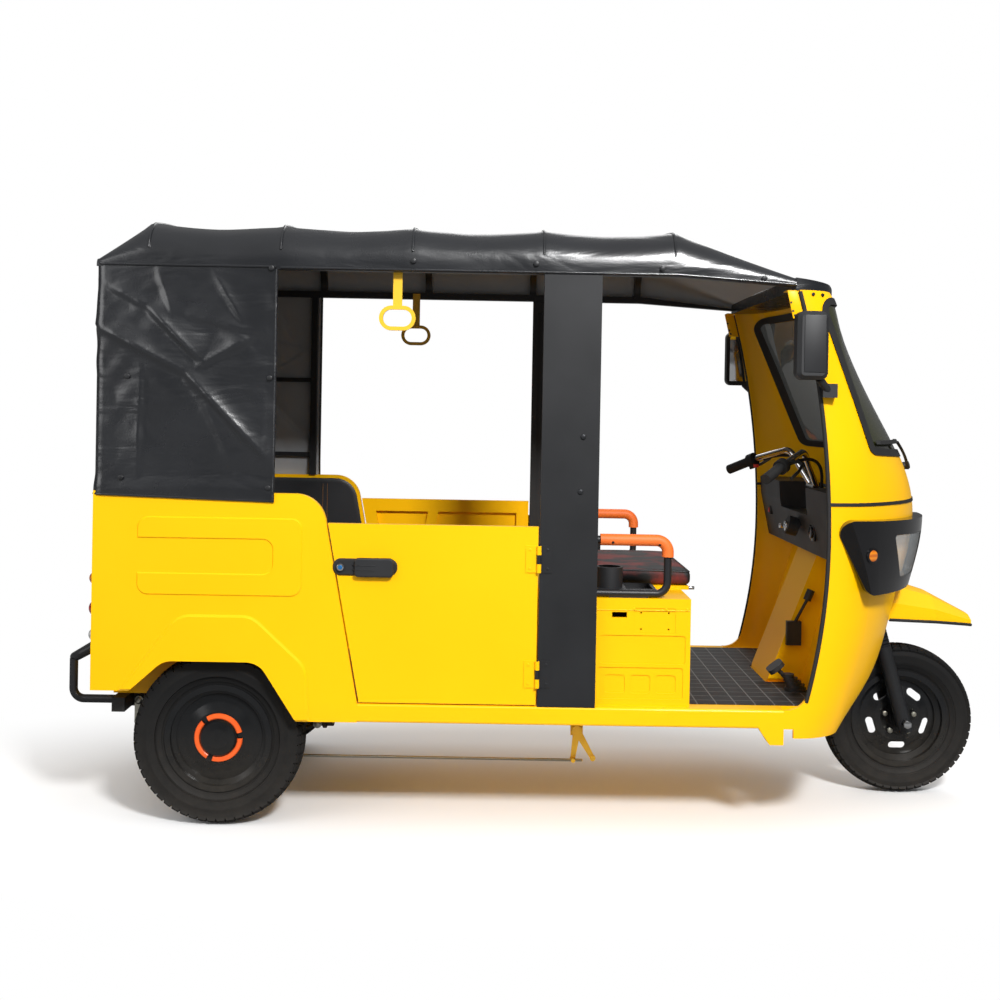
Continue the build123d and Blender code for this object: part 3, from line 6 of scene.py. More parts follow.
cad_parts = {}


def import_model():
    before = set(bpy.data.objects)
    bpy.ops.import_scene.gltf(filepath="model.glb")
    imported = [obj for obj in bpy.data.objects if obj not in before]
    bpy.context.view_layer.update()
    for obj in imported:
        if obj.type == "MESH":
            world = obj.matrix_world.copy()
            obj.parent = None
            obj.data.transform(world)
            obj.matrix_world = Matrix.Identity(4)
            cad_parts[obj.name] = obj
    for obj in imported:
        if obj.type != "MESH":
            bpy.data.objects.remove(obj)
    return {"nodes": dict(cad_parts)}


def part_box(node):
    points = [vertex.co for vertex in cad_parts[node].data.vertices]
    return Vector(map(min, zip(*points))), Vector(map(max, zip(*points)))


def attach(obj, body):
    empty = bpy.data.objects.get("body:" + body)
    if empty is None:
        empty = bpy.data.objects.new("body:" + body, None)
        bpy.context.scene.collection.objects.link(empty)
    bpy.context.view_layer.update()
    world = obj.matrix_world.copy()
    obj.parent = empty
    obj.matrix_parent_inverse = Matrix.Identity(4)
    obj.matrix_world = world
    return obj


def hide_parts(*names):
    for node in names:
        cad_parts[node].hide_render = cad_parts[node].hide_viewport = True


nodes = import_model()["nodes"]
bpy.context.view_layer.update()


# Colours and nodes

def tint(code):
    """A colour written as sRGB hex, as the linear values that a shader takes."""
    channels = [int(code[i:i + 2], 16) / 255 for i in (1, 3, 5)]
    return (*[c / 12.92 if c <= 0.04045 else ((c + 0.055) / 1.055) ** 2.4 for c in channels], 1.0)


def feed(tree, node, inputs):
    """Gives each socket named a value, or a link from a socket or from a node's first output."""
    for socket, value in inputs.items():
        if isinstance(value, bpy.types.Node):
            value = value.outputs[0]
        if isinstance(value, bpy.types.NodeSocket):
            tree.links.new(value, node.inputs[socket])
        else:
            node.inputs[socket].default_value = value


def add(tree, kind, inputs=None, **settings):
    """Adds one node, with its settings and with a value or a link for each socket named."""
    made = tree.nodes.new("ShaderNode" + kind)
    for key, value in settings.items():
        setattr(made, key, value)
    feed(tree, made, inputs or {})
    return made


def blank(name, **sockets):
    """A new material, as its tree, its shader and the place on the piece in metres."""
    made = bpy.data.materials.new(name)
    made.use_nodes = True
    tree = made.node_tree
    shader = tree.nodes["Principled BSDF"]
    feed(tree, shader, {socket.replace("_", " "): value for socket, value in sockets.items()})
    place = add(tree, "TexCoord").outputs["Object"]
    return made, tree, shader, place


MM = 1000.0
# Road dust: the height where it is thickest, its greatest share and the size of its spots
DUST_LOW_Z, DUST_SHARE, DUST_SPOT_MM = 0.05, 0.75, 34


def mottled(name, dark, light, patch_mm, grain_mm, grain_depth_mm, rough=(0.4, 0.5), wear=None, **sockets):
    """A surface that varies softly in colour and gloss, with a fine relief of its own."""
    made, tree, shader, place = blank(name, **sockets)
    patches = add(tree, "TexNoise", {"Vector": place, "Scale": MM / patch_mm, "Detail": 4.0})
    colour = add(tree, "MixRGB", {"Fac": patches, "Color1": tint(dark), "Color2": tint(light)})
    if wear:
        dirt_code, top_z = wear
        height = add(tree, "SeparateXYZ", {"Vector": place}).outputs["Z"]
        low = add(tree, "MapRange",
                  {"Value": height, "From Min": top_z, "From Max": DUST_LOW_Z, "To Max": DUST_SHARE})
        splash = add(tree, "TexNoise",
                     {"Vector": place, "Scale": MM / DUST_SPOT_MM, "Detail": 8.0, "Roughness": 0.7})
        spots = add(tree, "Math", {0: low, 1: splash}, operation="MULTIPLY")
        colour = add(tree, "MixRGB", {"Fac": spots, "Color1": colour, "Color2": tint(dirt_code)})
    gloss = add(tree, "MapRange", {"Value": patches, "To Min": rough[0], "To Max": rough[1]})
    grain = add(tree, "TexNoise", {"Vector": place, "Scale": MM / grain_mm, "Detail": 2.0})
    bump = add(tree, "Bump", {"Height": grain, "Strength": 0.6, "Distance": grain_depth_mm / MM})
    feed(tree, shader, {"Base Color": colour, "Roughness": gloss, "Normal": bump})
    return made


# Sprayed enamel on pressed sheet: even and glossy, with a faint orange peel and road dust low down.
# The peel is drawn at 7 mm, coarser than the real 2 mm, so that it shows.
yellow_enamel = mottled("yellow_enamel", "#FDBA00", "#FFC400", 420, 7, 0.05, (0.3, 0.42), ("#C48A22", 0.4),
                        Coat_Weight=0.12, Coat_Roughness=0.1, Specular_IOR_Level=0.22)
# Satin black enamel on the posts and frame
black_enamel = mottled("black_enamel", "#151618", "#1F2023", 160, 5, 0.06, (0.38, 0.5),
                       Specular_IOR_Level=0.5)
# Black enamel on the wheels, glossier and dusty
wheel_enamel = mottled("wheel_enamel", "#0C0D0E", "#151618", 60, 4, 0.05, (0.16, 0.28), ("#4A443B", 0.3))
# Black paint on springs and axle, dull and with grit on it
chassis_paint = mottled("chassis_paint", "#17181A", "#2A2926", 60, 6, 0.2, (0.55, 0.75), ("#5A5044", 0.36))
# Moulded ABS with a spark-eroded grain, drawn at 3 mm so that it shows
moulded_abs = mottled("moulded_abs", "#1B1B1D", "#252628", 90, 3, 0.12, (0.45, 0.6))
# Polished black ABS on the lamp shells
gloss_abs = mottled("gloss_abs", "#0B0B0D", "#141416", 120, 9, 0.03, (0.08, 0.16))
# Vulcanised rubber with a dry bloom
soft_rubber = mottled("soft_rubber", "#161617", "#222222", 40, 3, 0.1, (0.6, 0.8))
# Tyre rubber: carbon black with dust in the tread
tyre_rubber = mottled("tyre_rubber", "#0B0B0C", "#131313", 50, 3, 0.15, (0.6, 0.8), ("#37322C", 0.4),
                      Specular_IOR_Level=0.3)
# Foamed orange rubber of the arm grips
orange_rubber = mottled("orange_rubber", "#E8641E", "#F27A2C", 50, 3, 0.12, (0.5, 0.62))
# Woven yellow webbing, and the ring moulded to match
yellow_plastic = mottled("yellow_plastic", "#E7B21C", "#F2C02A", 60, 4, 0.08, (0.35, 0.5))
# Oiled spring steel, dark and a little shiny
spring_steel = mottled("spring_steel", "#26272A", "#38393C", 30, 3, 0.05, (0.35, 0.5), Metallic=0.7)
# Bright zinc plate with a faint yellow cast
zinc_plate = mottled("zinc_plate", "#B9B6A6", "#D2CFC2", 24, 3, 0.06, (0.3, 0.45), Metallic=1.0)
# Chromium plate, clear and a little smeared
chromium = mottled("chromium", "#D9DADC", "#EEEEEF", 60, 12, 0.02, (0.06, 0.14), Metallic=1.0)


def brick_mat():
    """Pressed rubber matting: black squares 60 mm across, parted by pale worn lines."""
    made, tree, shader, place = blank("pressed_mat", Roughness=0.7)
    tiles = add(tree, "TexBrick", {"Vector": place, "Color1": tint("#18191B"), "Color2": tint("#1F2022"),
                 "Mortar": tint("#5B5C5C"), "Scale": 1.0, "Mortar Size": 0.0022,
                 "Brick Width": 0.06, "Row Height": 0.06}, offset=0.0)
    bump = add(tree, "Bump", {"Height": tiles.outputs["Fac"], "Strength": 0.8, "Distance": 0.002})
    feed(tree, shader, {"Base Color": tiles, "Normal": bump})
    return made


pressed_mat = brick_mat()


def hide(name, dark, light, cell_mm, depth_mm, rough, crease_mm=None, crease_depth_mm=0.0, turn=0.0,
         patch_mm=240, spread=(0.0, 1.0), shine=0.45):
    """Coated cloth with an embossed grain, and creases that run across it where it hangs slack."""
    made, tree, shader, place = blank(name, Specular_IOR_Level=shine)
    cells = add(tree, "TexVoronoi", {"Vector": place, "Scale": MM / cell_mm, "Smoothness": 0.4},
                feature="SMOOTH_F1")
    shade = add(tree, "TexNoise", {"Vector": place, "Scale": MM / patch_mm, "Detail": 5.0})
    share = add(tree, "MapRange", {"Value": shade, "From Min": spread[0], "From Max": spread[1]})
    colour = add(tree, "MixRGB", {"Fac": share, "Color1": tint(dark), "Color2": tint(light)})
    gloss = add(tree, "MapRange", {"Value": shade, "To Min": rough[0], "To Max": rough[1]})
    grain = add(tree, "Bump", {"Height": cells, "Strength": 0.5, "Distance": depth_mm / MM})
    normal = grain
    if crease_mm:
        turned = add(tree, "Mapping",
                     {"Vector": place, "Rotation": (0.0, turn, 0.0), "Scale": (1.0, 1.0, 3.2)})
        folds = add(tree, "TexNoise", {"Vector": turned, "Scale": MM / crease_mm,
                                                 "Detail": 3.0, "Distortion": 0.6})
        creases = add(tree, "Bump", {"Height": folds, "Strength": 0.7,
                                               "Distance": crease_depth_mm / MM, "Normal": normal})
        normal = creases
    feed(tree, shader, {"Base Color": colour, "Roughness": gloss, "Normal": normal})
    return made


# Black leatherette of the canopy: PVC on cloth, embossed at 2 mm and drawn at 5 mm so that it shows
canopy_hide = hide("canopy_leatherette", "#0E1013", "#181A1F", 5, 0.25, (0.2, 0.33), 300, 9.0, 0.6, shine=1.0)
# The same cloth on seats and side boards, kept flat by its padding
seat_hide = hide("seat_leatherette", "#17181A", "#222327", 4, 0.22, (0.38, 0.55))
# Pale woven backing on the inside of the canopy
backing_cloth = hide("canopy_backing", "#9A9DA1", "#B4B7BA", 4, 0.3, (0.8, 0.95))
# Dark red and black mottled cover of the driver's seat
driver_hide = hide("driver_seat_cover", "#08090A", "#6A1F1B", 4, 0.25, (0.55, 0.75),
                   patch_mm=90, spread=(0.48, 0.62))


def glass_pane(name, code, alpha, rough):
    """Sheet glass that lets light through with a light tint."""
    made, tree, shader, place = blank(name, Base_Color=tint(code), IOR=1.5, Alpha=alpha, Coat_Weight=1.0)
    smear = add(tree, "TexNoise", {"Vector": place, "Scale": MM / 260, "Detail": 3.0})
    film = add(tree, "MapRange", {"Value": smear, "To Min": rough, "To Max": rough + 0.1})
    feed(tree, shader, {"Roughness": film})
    made.surface_render_method = "BLENDED"
    return made


# Laminated screen glass: a grey-green tint, darkened and made mostly opaque to stand for the dark reflections
# on the screen (painted reflection), yet clear enough to look through
screen_tint_and_reflection = glass_pane("laminated_screen", "#2F3219", 0.84, 0.04)
# Clear moulded polycarbonate over the lamps
lamp_lens = glass_pane("clear_lens", "#D8DEE0", 0.35, 0.05)


LENS_RIB_MM = 8


def coloured_lens(name, dark, light):
    """A moulded lens with a ribbed back, told by soft bands of light and dark."""
    made, tree, shader, place = blank(name, Roughness=0.15, Coat_Weight=0.6, Transmission_Weight=0.15)
    ribs = add(tree, "TexWave", {"Vector": place, "Scale": MM / LENS_RIB_MM / math.tau, "Distortion": 0.0},
               bands_direction="Z")
    colour = add(tree, "MixRGB", {"Fac": ribs.outputs["Fac"], "Color1": tint(dark), "Color2": tint(light)})
    bump = add(tree, "Bump", {"Height": ribs.outputs["Fac"], "Strength": 0.4, "Distance": 0.001})
    feed(tree, shader, {"Base Color": colour, "Normal": bump})
    return made


red_lens = coloured_lens("red_lens", "#8E0D0D", "#C41A16")
amber_lens = coloured_lens("amber_lens", "#C4610B", "#EE8B1C")
white_lens = coloured_lens("white_lens", "#B9BDBF", "#E4E7E8")


# Finishes for the solids that stay as they are

NODE_FINISHES = (
    (yellow_enamel, ("front_cowl_lower", "front_cowl_upper", "quarter_panels", "tail_panel", "side_sills",
                     "door_right", "door_left", "driver_seat_box", "front_bulkhead", "front_mudguard",
                     "rear_bench_base", "floor_pan")),
    (black_enamel, ("b_pillars", "roof_frame", "rear_bumper", "driver_armrests", "fork")),
    (chassis_paint, ("chassis_frame", "rear_axle", "leaf_springs")),
    (wheel_enamel, ("front_rim", "rear_rim_right", "rear_rim_left", "hub_cap_right", "hub_cap_left")),
    (moulded_abs, ("dashboard", "door_handle_right", "door_handle_left", "seat_trays", "mirrors",
                   "driver_controls", "battery_pack")),
    (gloss_abs, ("headlamp_housings",)),
    (soft_rubber, ("cowl_strip", "windscreen_gasket", "wiper", "handlebar_grips")),
    (tyre_rubber, ("front_tyre", "rear_tyre_right", "rear_tyre_left")),
    (orange_rubber, ("armrest_grips",)),
    (yellow_plastic, ("grab_handles", "brake_linkage")),
    (spring_steel, ("fork_springs",)),
    (chromium, ("handlebar",)),
    (pressed_mat, ("floor_mats",)),
    (canopy_hide, ("canopy", "visor")),
    (seat_hide, ("quarter_linings", "rear_bench_cushion", "rear_backrest")),
    (driver_hide, ("driver_seat_cushion",)),
    (screen_tint_and_reflection, ("windscreen",)),
    (lamp_lens, ("headlamp_lenses",)),
    (red_lens, ("tail_lamps",)),
)
for finish, names in NODE_FINISHES:
    for name in names:
        nodes[name].data.materials.clear()
        nodes[name].data.materials.append(finish)


# Modelling helpers, and the two sides as signs of Y: right, left

SIDES = (-1, 1)


def only(obj):
    """Makes one object the only one selected, and the active one, in object mode."""
    active = bpy.context.view_layer.objects.active
    if active and active.mode != "OBJECT":
        bpy.ops.object.mode_set(mode="OBJECT")
    bpy.ops.object.select_all(action="DESELECT")
    obj.select_set(True)
    bpy.context.view_layer.objects.active = obj
    return obj


def settle(obj, name=None):
    """Moves an object's place, turn and size into its mesh."""
    only(obj)
    bpy.ops.object.transform_apply(location=True, rotation=True, scale=True)
    if name:
        obj.name = name
        obj.data.name = name
    return obj


def change(obj, kind, **settings):
    """Adds a modifier with its settings and applies it."""
    only(obj)
    made = obj.modifiers.new(kind.lower(), kind)
    for key, value in settings.items():
        setattr(made, key, value)
    bpy.ops.object.modifier_apply(modifier=made.name)
    return obj


def edit(obj):
    """Goes into edit mode with all of one piece selected."""
    only(obj)
    bpy.ops.object.mode_set(mode="EDIT")
    bpy.ops.mesh.select_all(action="SELECT")


def done():
    """Goes back to object mode."""
    bpy.ops.object.mode_set(mode="OBJECT")


def pick_faces(obj, wanted):
    """Goes into edit mode with only the wanted faces selected."""
    edit(obj)
    bpy.ops.mesh.select_mode(type="FACE")
    bpy.ops.mesh.select_all(action="DESELECT")
    done()
    for face in obj.data.polygons:
        face.select = wanted(face)
    bpy.ops.object.mode_set(mode="EDIT")


def smooth(obj, degrees=35):
    """Shades a piece smooth, but for edges sharper than an angle."""
    only(obj)
    bpy.ops.object.shade_smooth_by_angle(angle=math.radians(degrees))
    return obj


def face_out(obj):
    """Turns all of a piece's faces outwards."""
    edit(obj)
    bpy.ops.mesh.normals_make_consistent(inside=False)
    done()
    return obj


def primitive(adder, **settings):
    """The mesh that a standard operator adds, with nothing else selected."""
    bpy.ops.object.select_all(action="DESELECT")
    adder(**settings)
    return bpy.context.object


def placed(name, data):
    """A new object in the scene, made of a mesh, curve, light or camera."""
    obj = bpy.data.objects.new(name, data)
    bpy.context.scene.collection.objects.link(obj)
    return obj


def block(name, low, high, rounding=0.0, steps=2):
    """A box between two corners, with its edges rounded."""
    size = [b - a for a, b in zip(low, high)]
    middle = [(a + b) / 2 for a, b in zip(low, high)]
    obj = primitive(bpy.ops.mesh.primitive_cube_add, size=1, location=middle)
    obj.scale = size
    settle(obj, name)
    if rounding:
        change(obj, "BEVEL", width=rounding, segments=steps, limit_method="ANGLE")
        smooth(obj)
    return obj


def rod(name, start, end, radius, sides=24, rounding=0.0):
    """A round bar between two points, with its end edges rounded."""
    start, end = Vector(start), Vector(end)
    run = end - start
    obj = primitive(bpy.ops.mesh.primitive_cylinder_add, vertices=sides, radius=radius, depth=run.length,
                    location=(start + end) / 2)
    obj.rotation_euler = run.to_track_quat("Z", "Y").to_euler()
    settle(obj, name)
    if rounding:
        change(obj, "BEVEL", width=rounding, segments=2, limit_method="ANGLE", angle_limit=math.radians(50))
    return smooth(obj)


def stud_at(spot, facing, radius, height, sides=20, rounding=0.0015, depth=0.002):
    """A bolt head, cap or button that stands on a skin."""
    return rod("stud", spot - facing * depth, spot + facing * height, radius, sides, rounding)


def line_tube(name, points, radius, sides=4, closed=False):
    """A tube along a smooth line through points, as a mesh."""
    curve = bpy.data.curves.new(name, "CURVE")
    curve.dimensions = "3D"
    curve.bevel_depth = radius
    curve.bevel_resolution = sides
    curve.use_fill_caps = True
    spline = curve.splines.new("POLY")
    spline.points.add(len(points) - 1)
    for point, place in zip(spline.points, points):
        point.co = (*place, 1.0)
    spline.use_cyclic_u = closed
    only(placed(name, curve))
    bpy.ops.object.convert(target="MESH")
    return smooth(bpy.context.object, 50)


def mirror_copy(obj, name):
    """The left-hand twin of a right-hand piece, with a mesh of its own."""
    twin = obj.copy()
    twin.data = obj.data.copy()
    bpy.context.scene.collection.objects.link(twin)
    twin.scale = (1, -1, 1)
    return face_out(settle(twin, name))


def joined(name, pieces):
    """Several pieces as one object."""
    only(pieces[0])
    for piece in pieces:
        piece.select_set(True)
    if len(pieces) > 1:
        bpy.ops.object.join()
    obj = bpy.context.view_layer.objects.active
    obj.name = name
    obj.data.name = name
    return obj


def fit(obj, finish, body, slot, *replaced):
    """Gives a finished piece its material, the body that it rides on and the nodes that it stands for."""
    obj.data.materials.clear()
    obj.data.materials.append(finish)
    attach(obj, body)
    if replaced:
        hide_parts(*replaced)
    return obj


def finer(start, end, parts):
    """Points spread evenly from one point to another, the last one left out."""
    start, end = Vector(start), Vector(end)
    return [start.lerp(end, i / parts) for i in range(parts)]


# Canopy: one sheet over five bows, and one sheet round the back as curtains

HALF = 0.529
TAIL_X, REAR_BOW_X, FRONT_BOW_X, FRONT_X = -1.376, -1.232, 0.392, 0.748
HEM_Z, FRONT_HEM_Z = 1.705, 1.682
TAIL_RISE, FULL_RISE, FRONT_RISE = 0.026, 0.167, 0.032
BOW_STEP = 0.4
BOWS = tuple(REAR_BOW_X + 0.012 + BOW_STEP * i for i in range(5))
WAIST_Z = 1.025
CURTAIN_X = -0.832
SHEET_THICKNESS = 0.004
# Roof sheet: the ridge on each bow, the sag between bows, its crinkles, and the slack past the end bows
RIDGE_WIDTH, RIDGE_HEIGHT, SAG, CRINKLE, CRINKLE_SIZE = 0.018, 0.004, 0.011, 0.0025, 0.09
END_REACH, END_SLACK = 0.3, 0.6
# Curtain: its lower edge, its lap over the hem, its rear corners, and its columns and rows
CURTAIN_LOW_Z, CURTAIN_LOW_RISE, TOP_LAP, CORNER = 0.998, 0.0147, 0.012, 0.022
SIDE_COLUMNS, CORNER_COLUMNS, BACK_COLUMNS, CURTAIN_ROWS = 84, 4, 60, 84


def arc(a, mid, b, parts):
    """Points along the circle through three points in a plane, the last one left out."""
    (ax, ay), (mx, my), (bx, by) = a, mid, b
    d = 2 * (ax * (my - by) + mx * (by - ay) + bx * (ay - my))
    sa, sm, sb = ax * ax + ay * ay, mx * mx + my * my, bx * bx + by * by
    cx = (sa * (my - by) + sm * (by - ay) + sb * (ay - my)) / d
    cy = (sa * (bx - mx) + sm * (ax - bx) + sb * (mx - ax)) / d
    start, end = math.atan2(ay - cy, ax - cx), math.atan2(by - cy, bx - cx)
    sweep = (end - start + math.pi) % math.tau - math.pi
    radius = math.hypot(ax - cx, ay - cy)
    turns = [start + sweep * i / parts for i in range(parts)]
    return [(cx + radius * math.cos(turn), cy + radius * math.sin(turn)) for turn in turns]


def roof_line(x):
    """The roof's outline across the cab at one place along it, from the right hem to the left."""
    hem, rise = HEM_Z, FULL_RISE
    if x < REAR_BOW_X:
        rise = TAIL_RISE + (FULL_RISE - TAIL_RISE) * (x - TAIL_X) / (REAR_BOW_X - TAIL_X)
    if x > FRONT_BOW_X:
        share = (x - FRONT_BOW_X) / (FRONT_X - FRONT_BOW_X)
        hem += (FRONT_HEM_Z - HEM_Z) * share
        rise += (FRONT_RISE - FULL_RISE) * share
    upright = hem + 0.22 * rise
    shoulder = (HALF - 0.6 * rise, hem + 0.84 * rise)
    mid = (HALF - 0.14 * rise, hem + 0.62 * rise)
    rising = [(HALF, hem + (upright - hem) * i / 3) for i in range(3)]
    rising += arc((HALF, upright), mid, shoulder, 8)
    crown = arc(shoulder, (0.0, hem + rise), (-shoulder[0], shoulder[1]), 16)
    falling = [(-shoulder[0], shoulder[1])] + [(-y, z) for y, z in reversed(rising)]
    return [(-y, z) for y, z in rising + crown + falling]


def ripple(along, over, size):
    """A steady random height between about -1 and 1, drawn out along one direction."""
    return noise.noise(Vector((along / size, over / size / 3.0, 7.3)))


def grid_piece(name, columns, rows):
    """A grid, and a function that gives the column and row of a place on it."""
    obj = primitive(bpy.ops.mesh.primitive_grid_add, x_subdivisions=columns, y_subdivisions=rows, size=1.0)
    return settle(obj, name), lambda co: (round((co.x + 0.5) * columns), round((co.y + 0.5) * rows))


def station_list():
    """Places along the cab where the roof's outline is drawn."""
    spans = [(TAIL_X, REAR_BOW_X, 8)]
    stops = [REAR_BOW_X, *BOWS[1:4], FRONT_BOW_X]
    spans += [(a, b, 16) for a, b in zip(stops, stops[1:])]
    spans.append((FRONT_BOW_X, FRONT_X, 16))
    return [a + (b - a) * i / parts for a, b, parts in spans for i in range(parts)] + [FRONT_X]


def canopy_roof():
    """The roof sheet, which sags between the bows and stands up a little along each of them."""
    stations = station_list()
    lines = [roof_line(x) for x in stations]
    obj, cell = grid_piece("canopy_roof", len(stations) - 1, len(lines[0]) - 1)
    for vertex in obj.data.vertices:
        i, j = cell(vertex.co)
        x = stations[i]
        y, z = lines[i][j]
        gap = min(abs(x - bow) for bow in BOWS)
        between = BOWS[0] <= x <= BOWS[-1]
        slack = min(1.0, gap / (0.5 * BOW_STEP)) if between else min(1.0, gap / END_REACH) * END_SLACK
        ridge = math.exp(-(gap / RIDGE_WIDTH) ** 2) * RIDGE_HEIGHT
        over = max(0.0, (z - HEM_Z) / FULL_RISE)
        sag = (SAG * math.sin(math.pi * 0.5 * slack) ** 1.4 - ridge) * over
        crinkle = CRINKLE * ripple(x + 0.4 * y, y, CRINKLE_SIZE) * over
        inward = 0.35 * sag * (1 if y < 0 else -1)
        vertex.co = (x, y + inward, z - sag + crinkle)
    return obj


# Folds in each curtain, as lines on the side of the cab: start, end, height and width
FOLDS = (
    ((-1.357, 1.516), (-1.099, 1.383), 0.018, 0.017), ((-1.099, 1.383), (-0.846, 1.123), 0.022, 0.020),
    ((-1.219, 1.584), (-1.062, 1.425), 0.020, 0.017), ((-0.894, 1.500), (-1.099, 1.383), 0.011, 0.014),
    ((-1.219, 1.584), (-0.834, 1.499), 0.009, 0.014), ((-1.330, 1.640), (-1.219, 1.584), 0.014, 0.016),
    ((-1.235, 1.360), (-1.245, 1.020), 0.007, 0.013), ((-1.190, 1.690), (-1.130, 1.520), 0.012, 0.020),
    ((-1.020, 1.690), (-0.930, 1.540), 0.012, 0.020), ((-1.060, 1.330), (-0.960, 1.110), 0.008, 0.018),
)
TUCK = 0.0052


def curtain_low(x):
    """The height of the curtain's lower edge, which hangs over the panel and rises to the rear."""
    return CURTAIN_LOW_Z + CURTAIN_LOW_RISE * (CURTAIN_X - x) / (CURTAIN_X - TAIL_X)


def curtain_top(y):
    """The height of the curtain's upper edge, which meets the roof's edge across the back."""
    return HEM_Z + TOP_LAP + TOP_LAP * min(1.0, max(0.0, (HALF - abs(y)) / 0.02))


def fold_height(x, z):
    """How far the folds lift one place of a curtain: steep below each line, and easy above it."""
    lift = 0.0
    for (x0, z0), (x1, z1), height, width in FOLDS:
        run = Vector((x1 - x0, z1 - z0))
        away = Vector((x - x0, z - z0))
        share = min(1.0, max(0.0, away.dot(run) / run.length_squared))
        gap = (away - run * share).length
        above = run.x * away.y - run.y * away.x > 0
        fade = math.sin(math.pi * (0.08 + 0.84 * share)) ** 0.5
        reach = 3.0 * width if above == (x1 > x0) else 0.6 * width
        lift = max(lift, height * fade * math.exp(-gap / reach))
    return lift


def curtain_path():
    """Points round the back of the tub, from the right curtain's front edge to the left one's."""
    right = [(CURTAIN_X + (TAIL_X + CORNER - CURTAIN_X) * i / SIDE_COLUMNS, -HALF)
             for i in range(SIDE_COLUMNS)]
    bend = [(TAIL_X + CORNER - CORNER * math.sin(a), -HALF + CORNER - CORNER * math.cos(a))
            for a in [math.pi / 2 * i / CORNER_COLUMNS for i in range(CORNER_COLUMNS)]]
    back = [(TAIL_X, -HALF + CORNER + (2 * HALF - 2 * CORNER) * i / BACK_COLUMNS)
            for i in range(BACK_COLUMNS)]
    far = [(x, -y) for x, y in reversed(right + bend)]
    return right + bend + back + [(TAIL_X, HALF - CORNER)] + far


def pushed(path, i, push):
    """One point of a path, moved out square to it."""
    ahead, behind = path[min(i + 1, len(path) - 1)], path[max(i - 1, 0)]
    run = Vector((ahead[0] - behind[0], ahead[1] - behind[1])).normalized()
    return path[i][0] - abs(run.y) * push, path[i][1] + run.x * push


def canopy_curtain():
    """The curtain sheet: slack, with creased folds on each side, and tucked over the panels at its foot."""
    path = curtain_path()
    obj, cell = grid_piece("canopy_curtain", len(path) - 1, CURTAIN_ROWS)
    for vertex in obj.data.vertices:
        i, j = cell(vertex.co)
        x, y = path[i]
        low = curtain_low(x)
        z = low + (curtain_top(y) - low) * j / CURTAIN_ROWS
        on_side = abs(y) > 0.5
        along = x if on_side else y - 0.8
        slack = max(0.0, math.sin(math.pi * j / CURTAIN_ROWS)) ** 0.5
        soft = (0.004 * ripple(along + 0.9 * z, z - 0.6 * along, 0.085)
                + 0.002 * ripple(0.7 * z - along, along, 0.05))
        if on_side:
            soft += fold_height(x, z) * min(1.0, (CURTAIN_X - x) / 0.03)
        foot = min(1.0, max(0.0, (WAIST_Z + 0.05 - z) / 0.04))
        push = max(slack * max(soft, -0.004), foot * TUCK)
        vertex.co = (*pushed(path, i, push), z)
    return obj


def cloth_sheet(obj):
    """Gives a sheet its thickness, the coated face outside and the woven face inside."""
    face_out(obj)
    obj.data.materials.append(canopy_hide)
    obj.data.materials.append(backing_cloth)
    change(obj, "SOLIDIFY", thickness=SHEET_THICKNESS, offset=-1.0, material_offset=1, material_offset_rim=0)
    return smooth(obj, 60)


roof_sheet = cloth_sheet(canopy_roof())
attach(roof_sheet, "body")
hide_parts("canopy")
curtain = cloth_sheet(canopy_curtain())
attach(curtain, "body")

# Welts along the sheets' seams and edges
round_back = curtain_path()
welts = [line_tube("welt", [(x, y * 1.003, curtain_top(y) - 0.004) for x, y in round_back], 0.0045),
         line_tube("welt", [(*pushed(round_back, i, TUCK - 0.002), curtain_low(round_back[i][0]) + 0.003)
                            for i in range(len(round_back))], 0.0042, 2)]
for side in SIDES:
    hem_run = [(x, side * (HALF + 0.001), roof_line(x)[0][1] + 0.006) for x in station_list()
               if x >= CURTAIN_X]
    welts.append(line_tube("welt", hem_run, 0.0045))
    front_edge = [(CURTAIN_X + 0.001, side * (HALF + (TUCK if z < 1.05 else 0.0) - 0.002), z)
                  for z in (curtain_low(CURTAIN_X), 1.035, WAIST_Z + 0.05, HEM_Z)]
    welts.append(line_tube("welt", front_edge, 0.004))
for x in BOWS:
    over = [(x, y * 1.001, z + 0.004) for y, z in roof_line(min(max(x, REAR_BOW_X), FRONT_BOW_X))[4:-4]]
    welts.append(line_tube("welt", over, 0.004))
fit(joined("canopy_welts", welts), canopy_hide, "body", "leatherette")

# Press studs and rivets that hold the sheets: place along the cab, and height
STUDS = ((-0.846, 1.708), (-0.846, 1.375), (-0.846, 1.041), (-1.277, 1.373), (-1.292, 1.066),
         (-0.417, 1.738), (-0.044, 1.736), (0.339, 1.728), (0.649, 1.705))
studs = [stud_at(Vector((x, side * (HALF + 0.0035), z)), Vector((0, side, 0)), 0.0085, 0.0055, 20, 0.003)
         for side in SIDES for x, z in STUDS]
fit(joined("canopy_studs", studs), black_enamel, "body", "black_paint")


# Wheels: tyres with moulded blocks, and an accent ring on each rear wheel

FRONT_HUB, REAR_HUB = Vector((1.246, 0.0, 0.254)), Vector((-0.996, -0.44, 0.265))
GROOVE_DEPTH, BLOCK_GAP, BLOCK_HEIGHT, TREAD_STEPS = 0.008, 0.0036, 0.0072, 54


